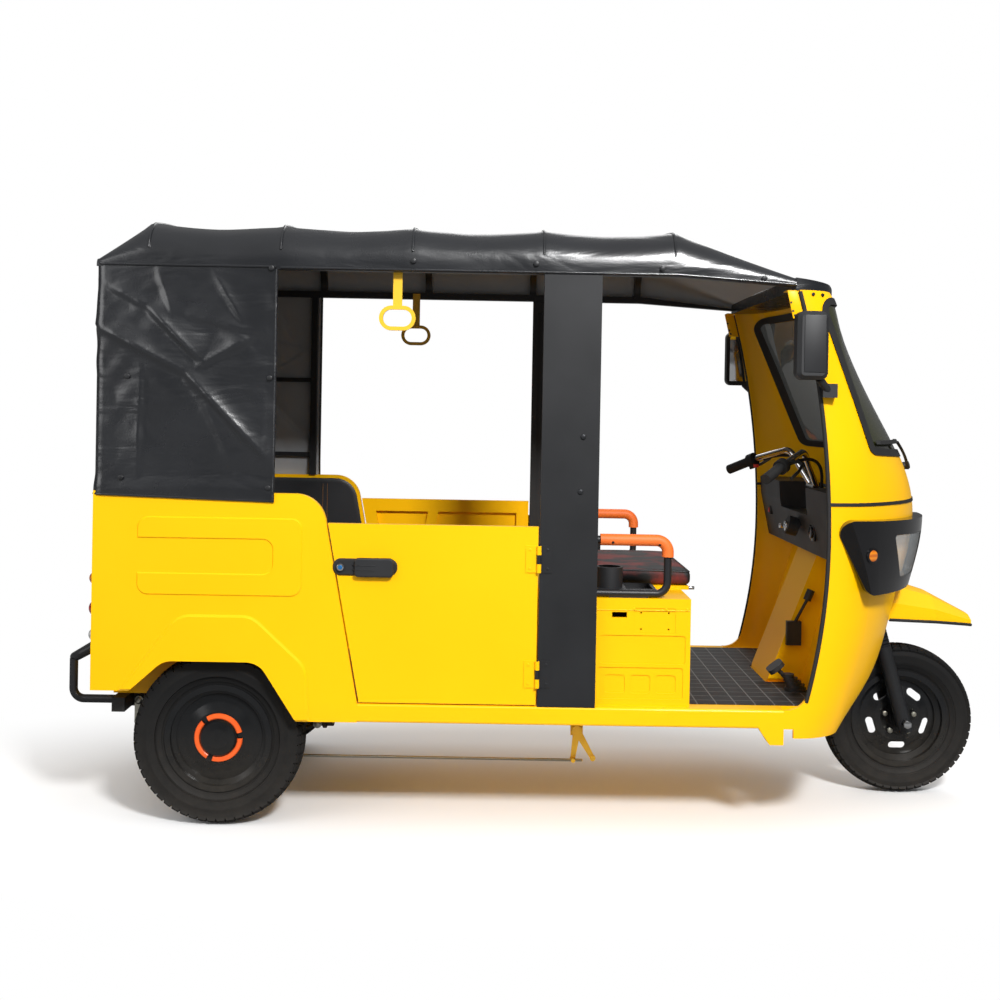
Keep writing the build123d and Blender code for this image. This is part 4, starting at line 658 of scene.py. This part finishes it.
def lathe(name, profile, centre, steps):
    """Draws a profile of (radius, along) points by extruding one vertex, and turns it about Y."""
    radius, along = profile[0]
    first = centre + Vector((0, along, radius))
    obj = settle(primitive(bpy.ops.mesh.primitive_plane_add, size=0.01, location=first), name)
    edit(obj)
    bpy.ops.mesh.select_mode(type="VERT")
    bpy.ops.mesh.select_all(action="SELECT")
    bpy.ops.mesh.merge(type="CENTER")
    for (r0, a0), (r1, a1) in zip(profile, profile[1:]):
        bpy.ops.mesh.extrude_region_move(TRANSFORM_OT_translate={"value": (0, a1 - a0, r1 - r0)})
    bpy.ops.mesh.select_all(action="SELECT")
    bpy.ops.mesh.spin(steps=steps, angle=math.tau, center=centre, axis=(0, 1, 0))
    bpy.ops.mesh.select_all(action="SELECT")
    bpy.ops.mesh.remove_doubles(threshold=0.00002)
    bpy.ops.mesh.normals_make_consistent(inside=False)
    done()
    return obj


def road_tyre(name, centre, outer, width):
    """A tyre with ribbed side walls, whose tread stands up in blocks."""
    half = width / 2
    groove = outer - GROOVE_DEPTH
    side = [(0.1535, 0.034), (0.168, 0.0348), (0.172, 0.036), (0.1745, 0.039), (0.186, 0.042),
            (0.188, 0.0436), (0.191, 0.0436), (0.193, half * 0.965), (0.213, half * 0.985), (0.216, half),
            (0.219, half), (0.222, half * 0.985), (outer - 0.022, half * 0.955)]
    tread = [(groove - 0.008, half * 0.86), (groove - 0.0028, half * 0.62), (groove - 0.0006, half * 0.3),
             (groove, 0.0)]
    right = [(r, -a) for r, a in side + tread]
    left = [(r, a) for r, a in reversed(side + tread[:-1])]
    obj = lathe(name, right + left, centre, TREAD_STEPS)
    low = outer - 0.0225
    pick_faces(obj, lambda face: math.hypot(face.center.x - centre.x, face.center.z - centre.z) > low)
    bpy.ops.mesh.inset(thickness=BLOCK_GAP, depth=BLOCK_HEIGHT, use_individual=True)
    done()
    return smooth(obj, 30)


front_tyre = road_tyre("front_road_tyre", FRONT_HUB, 0.254, 0.095)
fit(front_tyre, tyre_rubber, "front_wheel", "tyre", "front_tyre")
rear_tyre = road_tyre("rear_road_tyre_right", REAR_HUB, 0.265, 0.105)
rear_twin = mirror_copy(rear_tyre, "rear_road_tyre_left")
fit(rear_tyre, tyre_rubber, "rear_wheel_right", "tyre", "rear_tyre_right")
fit(rear_twin, tyre_rubber, "rear_wheel_left", "tyre", "rear_tyre_left")

# Accent rings round the hub caps: a flat orange band with three gaps
accent_paint = mottled("accent_paint", "#E8521A", "#F26A28", 40, 4, 0.05, (0.3, 0.4))
RING_PROFILE = ((0.0585, -0.0225), (0.0585, -0.0345), (0.062, -0.037), (0.072, -0.036), (0.0745, -0.033),
                (0.0745, -0.0225))
ring = lathe("wheel_accent_right", RING_PROFILE, REAR_HUB, 48)


def in_gap(face):
    """Whether a face lies in one of the ring's three gaps, each 15 degrees wide."""
    spot = face.center - REAR_HUB
    return math.degrees(math.atan2(spot.z, spot.x)) % 120 < 15


pick_faces(ring, in_gap)
bpy.ops.mesh.delete(type="FACE")
bpy.ops.mesh.select_all(action="SELECT")
bpy.ops.mesh.select_mode(type="EDGE")
bpy.ops.mesh.fill_holes(sides=0)
done()
smooth(ring, 40)
ring_twin = mirror_copy(ring, "wheel_accent_left")
fit(ring, accent_paint, "rear_wheel_right", "orange_rubber")
fit(ring_twin, accent_paint, "rear_wheel_left", "orange_rubber")

# Hexagon nuts on a circle round the front hub
NUT_COUNT, NUT_CIRCLE, NUT_INNER_Y, NUT_OUTER_Y = 5, 0.052, -0.03, -0.042
nuts = []
for i in range(NUT_COUNT):
    angle = math.tau * i / NUT_COUNT + 0.3
    spot = FRONT_HUB + Vector((NUT_CIRCLE * math.cos(angle), 0, NUT_CIRCLE * math.sin(angle)))
    nuts.append(rod("nut", (spot.x, NUT_INNER_Y, spot.z), (spot.x, NUT_OUTER_Y, spot.z), 0.0095, 6, 0.0015))
fit(joined("front_wheel_nuts", nuts), zinc_plate, "front_wheel", "steel")


# Seats: foam cushions with crowned faces, sides drawn in between the corners, and sewn channels

FOAM_ROUNDING, FOAM_VOXEL, SEAM_DEPTH, SEAM_WIDTH = 0.016, 0.006, 0.012, 0.013


def cushion(name, low, high, face, crown, draw, seams, seam_axis):
    """A foam cushion between two corners, padded along one axis, and the welt round its padded face."""
    across = [i for i in range(3) if i != face]
    middle = [(a + b) / 2 for a, b in zip(low, high)]
    half = [(b - a) / 2 for a, b in zip(low, high)]

    def shaped(point):
        a, b = ((point[i] - middle[i]) / half[i] for i in across)
        up = 0.5 + 0.5 * (point[face] - middle[face]) / half[face]
        moved = Vector(point)
        moved[across[0]] -= draw * math.copysign(abs(a) ** 5, a) * (1 - b * b)
        moved[across[1]] -= draw * math.copysign(abs(b) ** 5, b) * (1 - a * a)
        field = max(0.0, 1 - a ** 8) * max(0.0, 1 - b ** 8)
        dip = crown * 0.5 * (abs(a) ** 3 + abs(b) ** 3) - 0.0016 * noise.noise(Vector(point) / 0.07) * field
        for seam in seams:
            dip += SEAM_DEPTH * math.exp(-((point[seam_axis] - seam) / SEAM_WIDTH) ** 2) * field
        moved[face] -= dip * max(0.0, 2 * up - 1)
        return moved

    pad = block(name, low, high, FOAM_ROUNDING, 4)
    change(pad, "REMESH", mode="VOXEL", voxel_size=FOAM_VOXEL)
    for vertex in pad.data.vertices:
        vertex.co = shaped(vertex.co)
    smooth(pad, 60)
    loop, bend, rim = [], 0.014, 0.004
    low_a, low_b = (low[i] + rim + bend for i in across)
    high_a, high_b = (high[i] - rim - bend for i in across)
    for a, b, start in ((high_a, high_b, 0), (low_a, high_b, 90), (low_a, low_b, 180), (high_a, low_b, 270)):
        for k in range(7):
            angle = math.radians(start + 15 * k)
            spot = [0.0, 0.0, 0.0]
            spot[across[0]], spot[across[1]] = a + bend * math.cos(angle), b + bend * math.sin(angle)
            spot[face] = high[face] - rim
            loop.append(spot)
    run = [p for a, b in zip(loop, loop[1:] + loop[:1])
           for p in finer(a, b, 10 if math.dist(a, b) > 0.05 else 1)]
    return pad, line_tube("welt", [shaped(p) for p in run], 0.0032, 3, True)


# Cushions: name, node, corners, padded axis, crown, draw, channels and the axis that they are spread along
CUSHIONS = (
    ("bench_cushion", "rear_bench_cushion", (-1.254, -0.490, 0.641), (-0.678, 0.490, 0.736), 2, 0.016, 0.006,
     (-0.245, 0.0, 0.245), 1, seat_hide, "leatherette"),
    ("backrest_cushion", "rear_backrest", (-1.321, -0.490, 0.742), (-1.260, 0.490, 1.149), 0, 0.014, 0.006,
     (-0.245, 0.0, 0.245), 1, seat_hide, "leatherette"),
    ("driver_cushion", "driver_seat_cushion", (0.168, -0.286, 0.733), (0.482, 0.286, 0.786), 2, 0.009, 0.005,
     (), 0, driver_hide, "seat_cover"),
)
seat_welts = []
for name, node, low, high, face, crown, draw, seams, seam_axis, finish, slot in CUSHIONS:
    pad, welt = cushion(name, low, high, face, crown, draw, seams, seam_axis)
    fit(pad, finish, "body", slot, node)
    seat_welts.append(welt)
fit(joined("seat_welts", seat_welts), seat_hide, "body", "leatherette")
back_board = block("backrest_board", (-1.351, -0.488, 0.745), (-1.322, 0.488, 1.024), 0.006)
fit(back_board, seat_hide, "body", "leatherette")

# Side linings: the boards in the CAD, padded on the side that faces the seat
linings = placed("lining_pads", nodes["quarter_linings"].data.copy())
edit(linings)
bpy.ops.mesh.remove_doubles(threshold=0.00002)
bpy.ops.mesh.dissolve_limited(angle_limit=math.radians(1))
for thickness, depth in ((0.003, 0.0016), (0.005, 0.0012), (0.008, 0.0006)):
    pick_faces(linings, lambda face: face.area > 0.02
               and face.normal.y * face.center.y < -0.9 * abs(face.center.y))
    bpy.ops.mesh.inset(thickness=thickness, depth=depth)
done()
smooth(linings, 40)
fit(linings, seat_hide, "body", "leatherette", "quarter_linings")

# Tan stitches in two rows up each lining
stitch_thread = mottled("tan_thread", "#8A5A2C", "#A97438", 20, 2, 0.1, (0.7, 0.8))
LINING_Y = 0.4955
stitches = []
for side in SIDES:
    for x in (-0.812, -0.795):
        for k in range(36):
            z = 0.76 + 0.0065 * k
            ends = [(x, side * LINING_Y, z), (x, side * LINING_Y, z + 0.0042)]
            stitches.append(line_tube("stitch", ends, 0.0009, 0))
fit(joined("lining_stitches", stitches), stitch_thread, "body", "leatherette")


# Trim: rubber edges, bolts, brackets, lamps and controls

def skin_hit(names, start, heading):
    """Where a straight line first meets the named solids: the point and the way that the skin faces."""
    start, heading = Vector(start), Vector(heading)
    hits = [nodes[name].ray_cast(start, heading) for name in names]
    found = [(point, facing) for met, point, facing, _ in hits if met]
    return min(found, key=lambda hit: (hit[0] - start).length)


def side_spot(names, x, z, side):
    """The place on a solid's outer skin, seen square from one side."""
    return skin_hit(names, (x, side * 1.2, z), (0, -side, 0))


DOORWAY_X, DOORWAY_Z, DOORWAY_UPPER_R, DOORWAY_LOWER_R = 0.862, 0.9, 2.93, 1.98


def doorway_edge(z):
    """How far forward the edge of the driver's doorway lies at a height."""
    radius = DOORWAY_UPPER_R if z > DOORWAY_Z else DOORWAY_LOWER_R
    return DOORWAY_X - radius + math.sqrt(radius ** 2 - (z - DOORWAY_Z) ** 2)


def quad(name, corners, thickness, rounding=0.0):
    """A flat plate between four corners."""
    obj = settle(primitive(bpy.ops.mesh.primitive_plane_add, size=1.0), name)
    loop = [obj.data.vertices[i] for i in obj.data.polygons[0].vertices]
    for vertex, corner in zip(loop, corners):
        vertex.co = corner
    change(obj, "SOLIDIFY", thickness=thickness, offset=0.0)
    if rounding:
        change(obj, "BEVEL", width=rounding, segments=2, limit_method="ANGLE")
    return smooth(obj)


# Rubber edges: along each doorway from sill to header, and round the front mudguard's beak
DOORWAY_FOOT, DOORWAY_HEAD = 0.415, 1.668
heights = [DOORWAY_FOOT + (DOORWAY_HEAD - DOORWAY_FOOT) * i / 40 for i in range(41)]
rubber_runs = []
for side in SIDES:
    edge = [(doorway_edge(z) + 0.001, side * 0.5255, z) for z in heights]
    rubber_runs.append(line_tube("edge", edge, 0.0068, 3))
beak = [(1.165, 0.168, 0.6135), (1.33, 0.138, 0.604), (1.47, 0.084, 0.588)]
beak_run = [p for a, b in zip(beak, beak[1:]) for p in finer(a, b, 6)] + [Vector((1.467, 0.086, 0.588))]
beak_run += [Vector((1.4705, 0.06 - 0.03 * k, 0.588)) for k in range(5)]
beak_run += [Vector((1.467, -0.086, 0.588))] + [Vector((x, -y, z)) for x, y, z in reversed(beak_run[:12])]
rubber_runs.append(line_tube("edge", beak_run, 0.0052, 3))
fit(joined("rubber_edges", rubber_runs), soft_rubber, "body", "black_rubber")

# Header brackets at the doorways' top corners, with black discs in their holes as painted shade, and the
# bolts of the visor and pillars
BRACKET_SIDE = ((0.722, 1.668), (0.757, 1.668), (0.779, 1.585), (0.741, 1.585))
BRACKET_TOP = ((0.722, 0.5245), (0.757, 0.5245), (0.757, 0.47), (0.722, 0.47))
brackets, bracket_hole_shades, bolts = [], [], []
for side in SIDES:
    brackets.append(quad("bracket", [(x, side * 0.523, z) for x, z in BRACKET_SIDE], 0.003, 0.0008))
    brackets.append(quad("bracket", [(x, side * y, 1.6695) for x, y in BRACKET_TOP], 0.003, 0.0008))
    # Each hole is filled with a black disc rather than cut: painted shade where the opening would be
    for x, z in ((0.734, 1.634), (0.740, 1.608), (0.746, 1.595)):
        bracket_hole_shades.append(rod("hole", (x, side * 0.5205, z), (x, side * 0.5252, z), 0.0034, 14))
    for x, z in ((0.800, 1.660), (0.832, 1.659)):
        bolts.append(stud_at(*side_spot(["front_cowl_upper"], x, z, side), 0.0062, 0.005, 6))
    for x, z in ((0.108, 1.213), (0.102, 1.046)):
        bolts.append(stud_at(*side_spot(["b_pillars"], x, z, side), 0.0085, 0.0045, 20, 0.003))
fit(joined("header_brackets", brackets), yellow_enamel, "body", "yellow_paint")
fit(joined("bracket_hole_shades", bracket_hole_shades), soft_rubber, "body", "black_rubber")
fit(joined("cab_bolts", bolts), spring_steel, "body", "steel")

# Hinge screws, on the door's leaf and on the pillar's
HINGE_X, HINGE_SKIN, HINGE_ZS = -0.0205, 0.532, (0.489, 0.839)
pillar_screws = []
for side, door in ((-1, "door_right"), (1, "door_left")):
    door_screws = []
    for z in HINGE_ZS:
        for step in (-0.029, 0.029):
            for reach, group in ((-0.027, door_screws), (0.027, pillar_screws)):
                spot = Vector((HINGE_X + reach, side * HINGE_SKIN, z + step))
                group.append(stud_at(spot, Vector((0, side, 0)), 0.0042, 0.0016, 14, 0.0008))
    fit(joined(door + "_screws", door_screws), yellow_enamel, door, "yellow_paint")
fit(joined("pillar_hinge_screws", pillar_screws), black_enamel, "body", "black_paint")

# Door locks: a bright ring and a blue core, with two ribs along the pull
lock_blue = mottled("anodised_core", "#2A6FB0", "#3F8ACB", 12, 3, 0.04, (0.25, 0.35), Metallic=0.6)
for side, door in ((-1, "right"), (1, "left")):
    spot, facing = side_spot([f"door_handle_{door}"], -0.622, 0.806, side)
    ring = stud_at(spot, facing, 0.0105, 0.0035, 28, 0.001)
    core = stud_at(spot, facing, 0.0068, 0.0048, 24, 0.001)
    fit(ring, chromium, f"door_{door}", "chrome").name = f"lock_ring_{door}"
    fit(core, lock_blue, f"door_{door}", "chrome").name = f"lock_core_{door}"
    ribs = []
    for z in (0.799, 0.813):
        run = [side_spot([f"door_handle_{door}"], -0.586 + 0.012 * i, z, side)[0] for i in range(7)]
        ribs.append(line_tube("rib", run, 0.0016, 2))
    fit(joined(f"pull_ribs_{door}", ribs), moulded_abs, f"door_{door}", "black_plastic")


def dash_spot(y, z):
    """How far forward the face of the dash lies at one place."""
    return skin_hit(["dashboard"], (0.5, y, z), (1, 0, 0))[0].x


# Dash: hazard switch, square socket, and the ignition key in its barrel
switch_red = mottled("switch_red", "#C8281C", "#DE3A28", 20, 3, 0.05, (0.35, 0.45))
x = dash_spot(0.39, 0.93)
hazard_frame = block("hazard_frame", (x - 0.006, 0.374, 0.914), (x + 0.004, 0.406, 0.946), 0.002)
fit(hazard_frame, moulded_abs, "body", "black_plastic")
hazard = rod("hazard_switch", (x - 0.009, 0.39, 0.9275), (x - 0.002, 0.39, 0.9275), 0.0125, 3, 0.0015)
fit(hazard, switch_red, "body", "signal_lens")
x = dash_spot(-0.226, 0.905)
socket = [block("socket", (x - 0.005, -0.254, 0.878), (x + 0.003, -0.198, 0.934), 0.003),
          rod("socket", (x - 0.011, -0.226, 0.906), (x, -0.226, 0.906), 0.02, 28, 0.002)]
fit(joined("dash_socket", socket), gloss_abs, "body", "gloss_black_plastic")
x = dash_spot(-0.04, 0.91)
barrel = [rod("barrel", (x + 0.004, -0.04, 0.91), (x - 0.006, -0.04, 0.91), 0.018, 28, 0.002),
          block("barrel", (x - 0.026, -0.0415, 0.902), (x - 0.004, -0.0385, 0.918), 0.001)]
fit(joined("ignition_key", barrel), chromium, "body", "chrome")

# Handlebar: a red button, brake levers and the cables that run down to the stem
red_button = block("kill_button", (0.779, 0.196, 1.096), (0.797, 0.214, 1.108), 0.003)
fit(red_button, switch_red, "steering", "signal_lens")
LEVER = ((0.806, 0.208, 1.134), (0.838, 0.222, 1.136), (0.846, 0.244, 1.128), (0.826, 0.282, 1.108),
         (0.800, 0.316, 1.092), (0.792, 0.326, 1.088))
levers = [line_tube("lever", [(x, side * y, z) for x, y, z in LEVER], 0.0055, 3) for side in SIDES]
fit(joined("brake_levers", levers), black_enamel, "steering", "black_paint")


def bow_line(start, lift, end, parts):
    """Points along a smooth bow from one point to another, pulled towards a third."""
    start, lift, end = Vector(start), Vector(lift), Vector(end)
    return [start.lerp(lift, i / parts).lerp(lift.lerp(end, i / parts), i / parts) for i in range(parts + 1)]


for side, name in ((-1, "right_cable"), (1, "left_cable")):
    run = bow_line((0.812, side * 0.198, 1.126), (0.960, side * 0.150, 1.190),
                   (0.958, side * 0.040, 1.018), 24)
    cable = line_tube(name, run, 0.0055, 3)
    fit(cable, soft_rubber, "steering", "black_rubber")

# A small round lamp in each headlamp shell
round_rings, round_bulbs = [], []
for side in SIDES:
    spot, facing = side_spot(["headlamp_housings"], 0.992, 0.868, side)
    round_rings.append(stud_at(spot, facing, 0.0245, 0.003, 32, 0.0015))
    round_bulbs.append(stud_at(spot, facing, 0.0175, 0.0045, 28, 0.002))
fit(joined("round_lamp_rings", round_rings), gloss_abs, "body", "gloss_black_plastic")
fit(joined("round_lamp_bulbs", round_bulbs), amber_lens, "body", "signal_lens")

# Mirrors: the glass on the inner face, and the raised panel on the shell's back
mirror_backs, mirror_faces = [], []
for side in SIDES:
    inner, outer = sorted((side * 0.5500, side * 0.5530)), sorted((side * 0.6040, side * 0.6085))
    mirror_faces.append(block("glass", (0.750, inner[0], 1.414), (0.820, inner[1], 1.588), 0.0012))
    mirror_backs.append(block("back", (0.757, outer[0], 1.420), (0.822, outer[1], 1.592), 0.002))
fit(joined("mirror_faces", mirror_faces), chromium, "body", "chrome")
fit(joined("mirror_backs", mirror_backs), moulded_abs, "body", "black_plastic")

# Tail lamps: amber over red over clear, each a low dome on a black rim
TAIL_LAMPS = (("turn_lamps", 0.747, 0.026, amber_lens), ("stop_lamps", 0.654, 0.030, red_lens),
              ("reverse_lamps", 0.572, 0.026, white_lens))
TAIL_LAMP_Y = 0.44
lamp_rims = []
for name, z, radius, finish in TAIL_LAMPS:
    domes = []
    for side in SIDES:
        y = side * TAIL_LAMP_Y
        dome = primitive(bpy.ops.mesh.primitive_uv_sphere_add, segments=32, ring_count=16, radius=1,
                         location=(-1.379, y, z))
        dome.scale = (0.031, radius - 0.002, radius - 0.002)
        domes.append(smooth(settle(dome, "dome"), 60))
        lamp_rims.append(rod("rim", (-1.375, y, z), (-1.385, y, z), radius + 0.001, 36, 0.002))
    fit(joined(name, domes), finish, "body", "signal_lens", *(["tail_lamps"] if finish is red_lens else []))
fit(joined("tail_lamp_rims", lamp_rims), moulded_abs, "body", "black_plastic")

# Seat box: the folded seam with its screws, and the seat's front latch
folds = []
for side in SIDES:
    folds.append(line_tube("fold", [(0.157, side * 0.5003, 0.684), (0.447, side * 0.5003, 0.684)], 0.0016, 2))
    for x in (0.160, 0.276, 0.374, 0.438):
        folds.append(stud_at(Vector((x, side * 0.5, 0.688)), Vector((0, side, 0)), 0.0042, 0.0028, 14, 0.001))
fit(joined("seat_box_fold", folds), yellow_enamel, "body", "yellow_paint")
latch = rod("seat_latch", (0.470, -0.262, 0.7225), (0.497, -0.262, 0.7225), 0.0055, 20, 0.0015)
fit(latch, chromium, "body", "chrome")

# Grip screws on the arm rests
grip_screws = [stud_at(*side_spot(["armrest_grips"], x, z, side), 0.0042, 0.0012, 14, 0.0006)
               for side in SIDES for x, z in ((0.208, 0.890), (0.352, 0.884))]
fit(joined("grip_screws", grip_screws), black_enamel, "body", "black_paint")

# Brake rod and spring shackles in bright zinc plate
bright = [rod("rod", (0.137, -0.314, 0.170), (-0.932, -0.340, 0.179), 0.0044, 16)]
shackle_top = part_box("leaf_springs")[1][2] - 0.013
for side in SIDES:
    for x in (-1.281, -0.711):
        near, far = side * 0.3255, side * 0.3292
        low_y, high_y = sorted((near, far))
        bright.append(block("shackle", (x - 0.0128, low_y, 0.276), (x + 0.0128, high_y, shackle_top)))
        for z in (0.276, shackle_top):
            bright.append(rod("shackle", (x, near, z), (x, far, z), 0.0134, 28))
            bright.append(rod("shackle", (x, near, z), (x, far + side * 0.008, z), 0.0088, 6, 0.001))
fit(joined("zinc_fittings", bright), zinc_plate, "body", "steel")

# Axle nuts on the fork's feet
axle_nuts = []
for side in SIDES:
    y = side_spot(["fork"], 1.246, 0.254, side)[0].y
    axle_nuts.append(rod("nut", (1.246, y - side * 0.003, 0.254), (1.246, y + side * 0.011, 0.254),
                         0.0145, 6, 0.0015))
fit(joined("axle_nuts", axle_nuts), chromium, "steering", "chrome")


# Floor, light and camera

floor = settle(primitive(bpy.ops.mesh.primitive_plane_add, size=60, location=(0, 0, -0.001)), "floor")
floor_paint, floor_tree, floor_shader, floor_place = blank("studio_floor", Roughness=0.9)
# Farther out the floor turns to plain white light, so that no horizon shows
spread = add(floor_tree, "VectorMath", {0: floor_place, 1: (0.42, 0.85, 0.0)}, operation="MULTIPLY")
reach = add(floor_tree, "VectorMath", {0: spread}, operation="LENGTH")
fade = add(floor_tree, "MapRange", {"Value": reach.outputs["Value"], "From Min": 0.55, "From Max": 1.1},
           interpolation_type="SMOOTHSTEP")
floor_rays = add(floor_tree, "LightPath")
# Shiny surfaces mirror a darker yard, as they do outdoors
ground = add(floor_tree, "MapRange",
             {"Value": floor_rays.outputs["Is Glossy Ray"], "To Min": 0.9, "To Max": 0.12})
feed(floor_tree, floor_shader, {"Base Color": ground})
glow = add(floor_tree, "MapRange",
           {"Value": floor_rays.outputs["Is Camera Ray"], "To Min": 0.3, "To Max": 1.0})
white = add(floor_tree, "Emission", {"Color": tint("#FFFFFF"), "Strength": glow})
blend = add(floor_tree, "MixShader", {0: fade, 1: floor_shader, 2: white})
feed(floor_tree, floor_tree.nodes["Material Output"], {"Surface": blend})
floor.data.materials.append(floor_paint)

world = bpy.data.worlds.new("studio")
bpy.context.scene.world = world
world.use_nodes = True
sky = world.node_tree
rays = add(sky, "LightPath")
seen = add(sky, "Math", {0: rays.outputs["Is Camera Ray"], 1: rays.outputs["Is Transmission Ray"]},
           operation="MAXIMUM")
# Light from the sky is weak along the horizon and strong overhead
heading = add(sky, "SeparateXYZ", {"Vector": add(sky, "TexCoord").outputs["Generated"]})
dome = add(sky, "MapRange", {"Value": heading.outputs["Z"], "From Max": 0.9, "To Min": 0.2, "To Max": 0.95})
mirrored = add(sky, "MapRange", {"Value": rays.outputs["Is Glossy Ray"], "To Min": 1.0, "To Max": 0.45})
shaded = add(sky, "Math", {0: dome, 1: mirrored}, operation="MULTIPLY")
strength = add(sky, "MapRange", {"Value": seen, "To Min": shaded, "To Max": 1.0})
feed(sky, sky.nodes["Background"], {"Color": tint("#FFFFFF"), "Strength": strength})

# Lamps: name, place, aim, size and power
LAMPS = (
    ("key", (1.6, -5.2, 4.6), (0.2, 0.0, 0.8), 0.9, 450.0),
    ("fill", (-4.2, -3.6, 2.6), (-0.4, 0.0, 0.8), 3.0, 60.0),
    ("rim", (0.5, 4.6, 4.4), (0.0, 0.0, 0.9), 3.0, 60.0),
)
for name, place, aim, size, power in LAMPS:
    lamp = bpy.data.lights.new(name, "AREA")
    lamp.size = size
    lamp.energy = power
    lamp_object = placed(name, lamp)
    lamp_object.location = place
    lamp_object.rotation_euler = (Vector(aim) - Vector(place)).to_track_quat("-Z", "Y").to_euler()

# The camera stands where the photograph was taken, tilted a little with its frame set low
CAMERA_PLACE = Vector((-0.1775, -4.431, 1.308))
YAW, PITCH, ROLL = (math.radians(angle) for angle in (0.45, 0.32, 1.03))
FOCAL_PX = 1284.7
CENTRE_Y_PX = 411.4
camera_data = bpy.data.cameras.new("camera")
camera = placed("camera", camera_data)
ahead = Vector((math.sin(YAW) * math.cos(PITCH), math.cos(YAW) * math.cos(PITCH), -math.sin(PITCH)))
right = Vector((math.cos(YAW), -math.sin(YAW), 0))
up = right.cross(ahead)
across = right * math.cos(ROLL) + up * math.sin(ROLL)
upright = up * math.cos(ROLL) - right * math.sin(ROLL)
turn = Matrix((across, upright, -ahead)).transposed().to_4x4()
camera.matrix_world = Matrix.Translation(CAMERA_PLACE) @ turn
camera_data.sensor_width = 36.0
camera_data.lens = FOCAL_PX * 36.0 / 1000.0
camera_data.shift_y = (CENTRE_Y_PX - 500.0) / 1000.0
bpy.context.scene.camera = camera

bpy.context.scene.view_settings.view_transform = "Standard"
